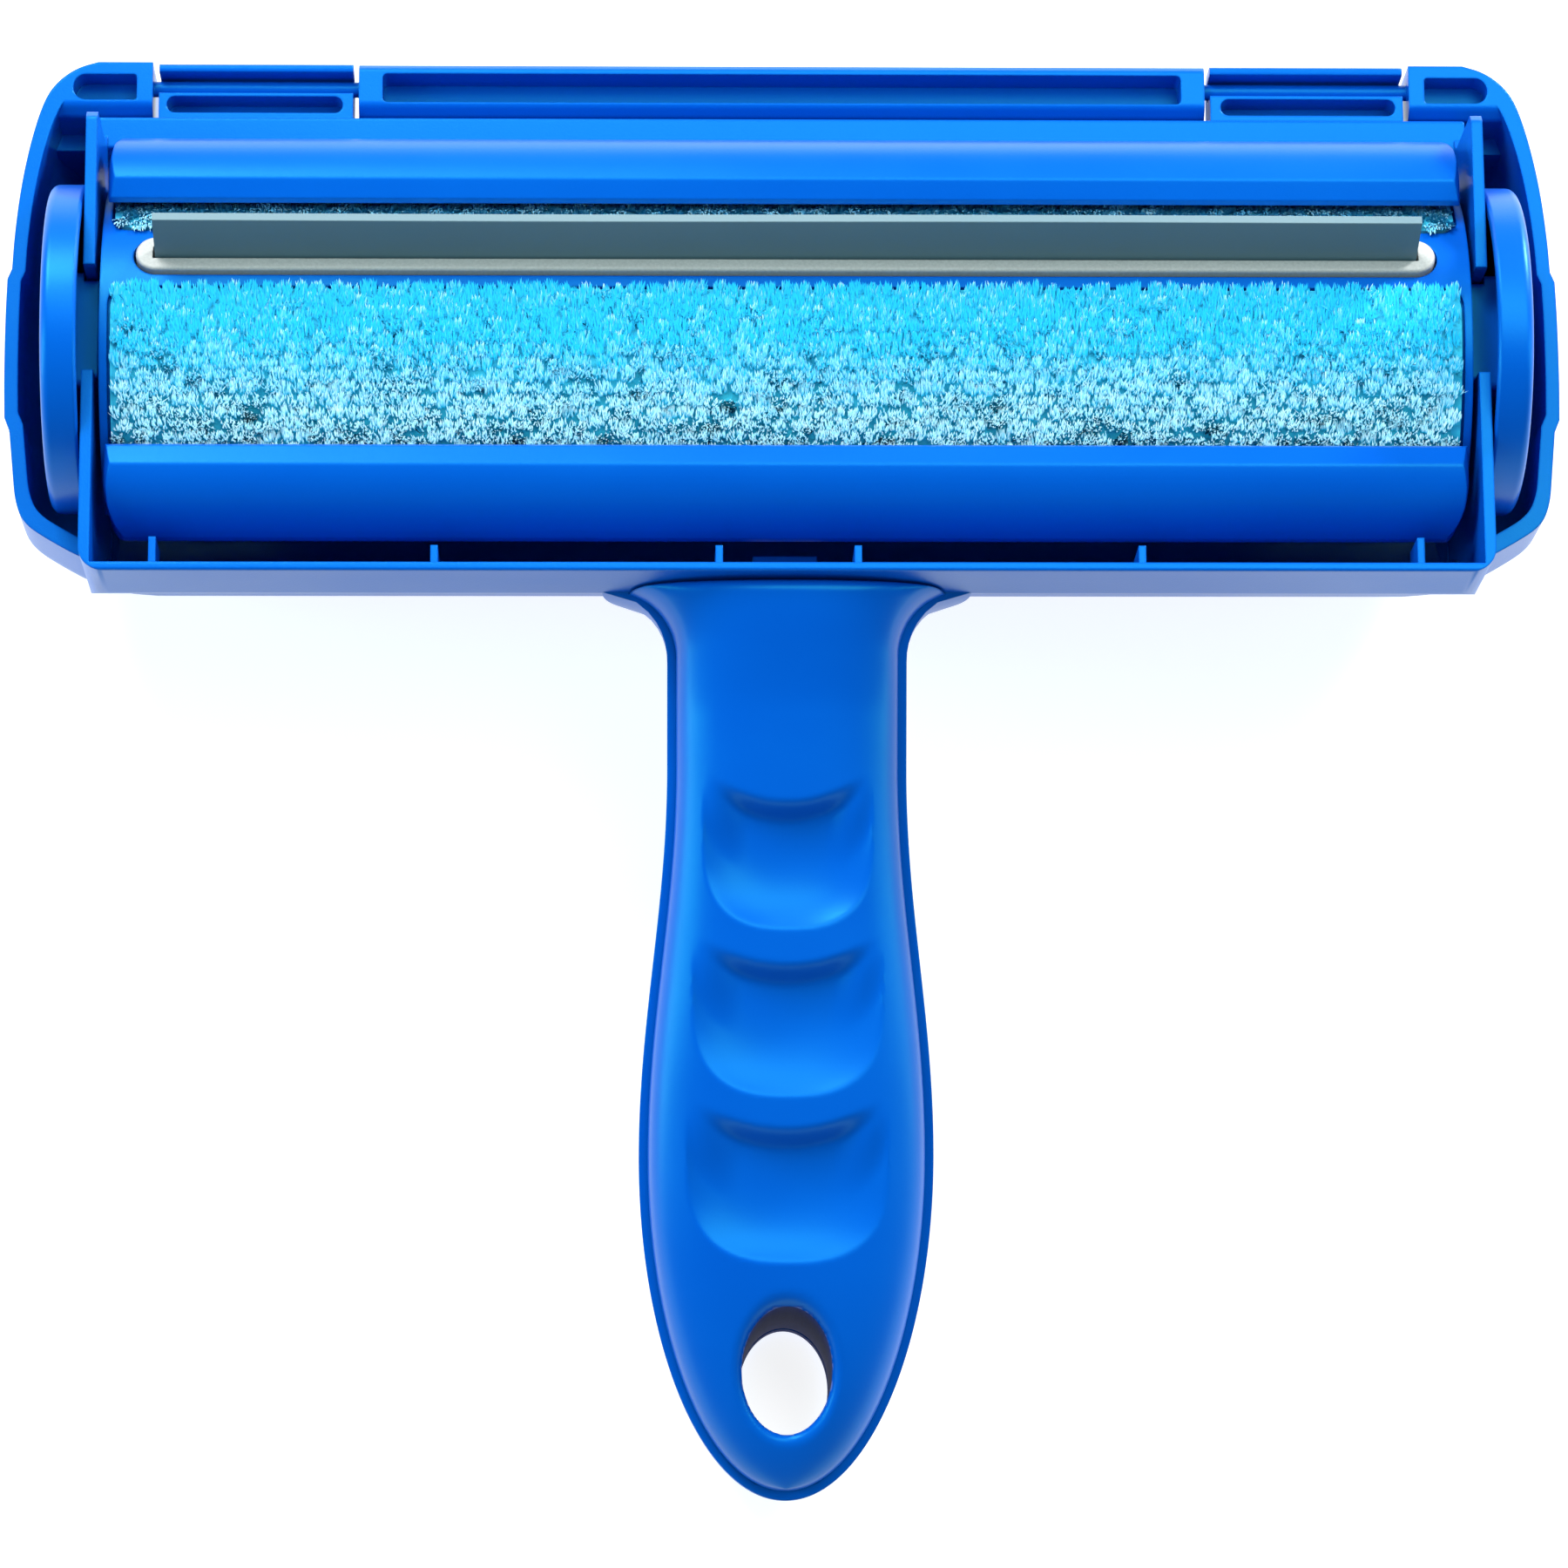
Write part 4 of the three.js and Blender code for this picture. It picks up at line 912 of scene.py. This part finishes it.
def spring_steel():
    n = Nodes("spring steel")
    fine = n.noise(900, 3, stretch=(1, 6, 1))
    return n.finish(Base_Color=n.mixed(fine, (0.52, 0.53, 0.55, 1), (0.66, 0.67, 0.68, 1)), Metallic=1.0,
                    Roughness=n.ranged(fine, 0.22, 0.38), Normal=n.bump(fine, 0.15, 0.02 * MM))


# ---------------------------------------------------------------- pieces
def placed(name, mesh, material, body, replaced):
    """Puts a mesh in the scene as a piece of a body, in place of a CAD node if one is named."""
    piece = bpy.data.objects.new(name, mesh)
    bpy.context.scene.collection.objects.link(piece)
    mesh.materials.append(material)
    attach(piece, body)
    if replaced:
        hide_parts(replaced)
    return piece


def add_piece(name, solid, material, body, replaced, sharp=32):
    """A solid becomes a piece, smooth wherever its faces meet at less than the sharp angle."""
    mesh = solid.mesh(name, MM)
    piece = placed(name, mesh, material, body, replaced)
    mesh.shade_smooth()
    mesh.set_sharp_from_angle(angle=math.radians(sharp))
    weighted = piece.modifiers.new("weighted normals", "WEIGHTED_NORMAL")
    weighted.keep_sharp = True
    return piece


def paint_bore_shade(piece, material):
    """Gives the walls of the hanging hole the material whose dark colour is painted shade."""
    piece.data.materials.append(material)
    for face in piece.data.polygons:
        x, y, _ = face.center / MM
        if from_hole_centre(x, y) < 1.01 and abs(face.normal.z) < 0.3:
            face.material_index = 1


def add_pile(name, side, seed, material, replaced=None):
    """The pile as one mesh; its normals lie close to the pad's own, so that it shades as a soft surface."""
    points, faces, along, painted_sheen_and_tone = pile(side, seed)
    points = in_drum_place(points)
    mesh = bpy.data.meshes.new(name)
    mesh.from_pydata((points * MM).tolist(), [], faces.tolist())
    # Each fibre carries its painted sheen, with random tone, as an attribute.
    for label, values in (("along", along), ("painted_sheen_and_tone", painted_sheen_and_tone)):
        mesh.attributes.new(label, "FLOAT", "POINT").data.foreach_set("value", values.astype(np.float32))
    mesh.shade_smooth()
    outward = unit((points - np.array([0, AXIS_Y, AXIS_Z])) * np.array([0, 1, 1]))
    roots, tips = 0.5 * (points[0::5] + points[1::5]), points[4::5]
    lean = unit(np.repeat(tips - roots, 5, axis=0))
    up = np.array([0, 0, 1])
    mesh.normals_split_custom_set_from_vertices(unit(0.7 * outward + 0.15 * lean + 0.45 * up).tolist())
    return placed(name, mesh, material, "drum", replaced)


def unit(vectors):
    return vectors / np.linalg.norm(vectors, axis=1)[:, None]


def in_drum_place(points):
    c, s = math.cos(-REST), math.sin(-REST)
    x, y, z = points.T
    return np.column_stack([x, y * c - z * s + AXIS_Y, y * s + z * c + AXIS_Z])


def on_drum(solid):
    return solid.turned_x(-REST).moved(y=AXIS_Y, z=AXIS_Z)


def on_head(solid):
    return solid.moved(y=AXIS_Y, z=AXIS_Z)


def build():
    """Every piece, on its body."""
    shell = blue_plastic("blue plastic", 0.35)
    smooth_shell = blue_plastic("smooth blue plastic", 0.22)
    grained = blue_plastic("grained blue plastic", 0.6)
    grey, rubber, steel = grey_plastic(), rubber_with_painted_shade(), spring_steel()
    ground, nap = velour_cloth(), velour_pile()
    # the hanging hole's walls get a near-black material as painted shade
    bore = bore_painted_shade()

    rear = add_piece("frame_moulding", casing_frame(), grained, "casing", "frame")
    front = add_piece("front_handle_moulding", front_handle(), smooth_shell, "casing", "handle_front_shell")
    paint_bore_shade(rear, bore)
    paint_bore_shade(front, bore)
    add_piece("lid_moulding", on_head(lid_moulding()), grained, "lid", "lid")
    add_piece("drum_tube", on_drum(drum_shell()), shell, "drum", "drum_shell")
    add_piece("holder_rail", on_drum(blade_holder()), grey, "drum", "blade_holder")
    # the blade's dark colour is painted shade
    add_piece("blade_strip", on_drum(rubber_blade()), rubber, "drum", "rubber_blade")

    bar, cap, wheel, clip, plate = stripper_bar(), bearing_cap(), end_wheel(), wheel_clip(), drum_end()
    for name, turned in (("upper", bar), ("lower", bar.mirrored_y())):
        add_piece(f"bar_{name}", on_head(turned), shell, "casing", f"stripper_bar_{name}")
    for name, flip in (("right", Solid.moved), ("left", Solid.mirrored_x)):
        add_piece(f"cap_{name}", on_head(flip(cap)), shell, "casing", f"bearing_cap_{name}")
        add_piece(f"wheel_{name}_moulding", on_head(flip(wheel)), shell, f"wheel_{name}", f"end_wheel_{name}")
        add_piece(f"clip_{name}", on_head(flip(clip)), shell, "casing", f"wheel_clip_{name}")
        add_piece(f"plate_{name}", on_drum(flip(plate)), shell, "drum", f"drum_end_{name}")
    add_piece("button_moulding", release_button(), shell, "button", "release_button")

    for name, side, seed in (("upper", 1, 11), ("lower", -1, 23)):
        cloth = add_piece(f"pad_cloth_{name}", on_drum(nap_patch(side, 0, NAP_FLOOR + GAP, CLOTH_TOP)),
                          ground, "drum", f"lint_pad_{name}")
        tufts = add_pile(f"pad_pile_{name}", side, seed, nap)
    strip = stripper_pad()
    for name, turned in (("upper", strip), ("lower", strip.mirrored_y())):
        add_piece(f"bar_cloth_{name}", on_head(turned), ground, "casing",
                  f"stripper_pad_{name}")

    for name in ("button_spring", "handle_screw_upper", "handle_screw_lower"):
        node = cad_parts[name]
        node.data.materials.clear()
        node.data.materials.append(steel)


# ---------------------------------------------------------------- stage and camera
def make_stage():
    bpy.ops.mesh.primitive_plane_add(size=6, location=(0, 0, 0))
    floor = bpy.context.object
    floor.name = "floor"
    n = Nodes("floor")
    floor.data.materials.append(n.finish(
        Base_Color=(0.4, 0.4, 0.4, 1), Roughness=0.9, Emission_Color=(1, 1, 1, 1), Emission_Strength=0.85))


def make_lights():
    world = bpy.data.worlds.new("studio")
    world.use_nodes = True
    background = world.node_tree.nodes["Background"]
    background.inputs["Color"].default_value = (0.7, 0.97, 1, 1)
    background.inputs["Strength"].default_value = 0.3
    bpy.context.scene.world = world
    white, cool = (1, 1, 1), (0.5, 0.95, 1)
    for name, place, size, power, colour in (
        ("key", (-0.42, 0.80, 0.85), (0.5, 0.5), 17, white),
        ("top", (0.25, 0.30, 1.15), (0.8, 0.5), 7, white),
        ("rim", (0.66, 0.70, 0.30), (0.2, 0.2), 12, white),
        ("left", (-0.95, -0.05, 0.42), (0.25, 0.9), 6, cool),
        ("right", (0.95, -0.05, 0.42), (0.2, 0.9), 3, cool),
    ):
        data = bpy.data.lights.new(name, "AREA")
        data.shape = "RECTANGLE"
        data.size, data.size_y = size
        data.energy = power
        data.color = colour
        lamp = bpy.data.objects.new(name, data)
        lamp.location = place
        aim = Vector((0, 0, 0.02)) - Vector(place)
        lamp.rotation_euler = aim.to_track_quat("-Z", "Y").to_euler()
        bpy.context.scene.collection.objects.link(lamp)


def make_camera():
    """A long lens nearly square to the working face, tipped towards the handle."""
    target = Vector((0, CAD_BOX[0][1] + 0.0885, 0.023))
    distance = 0.780
    tilt, yaw = math.radians(13), math.radians(1.6)
    away = Vector((-math.sin(yaw), -math.sin(tilt), math.cos(tilt) * math.cos(yaw))).normalized()
    data = bpy.data.cameras.new("camera")
    data.sensor_width, data.lens = 36, 142.6
    camera = bpy.data.objects.new("camera", data)
    place = target + away * distance
    right = (Vector((1, 0, 0)) - away * away.x).normalized()
    up = away.cross(right)
    camera.matrix_world = Matrix((
        (right.x, up.x, away.x, place.x),
        (right.y, up.y, away.y, place.y),
        (right.z, up.z, away.z, place.z),
        (0, 0, 0, 1)))
    bpy.context.scene.collection.objects.link(camera)
    bpy.context.scene.camera = camera
    bpy.context.scene.view_settings.view_transform = "Standard"


build()
make_stage()
make_lights()
make_camera()
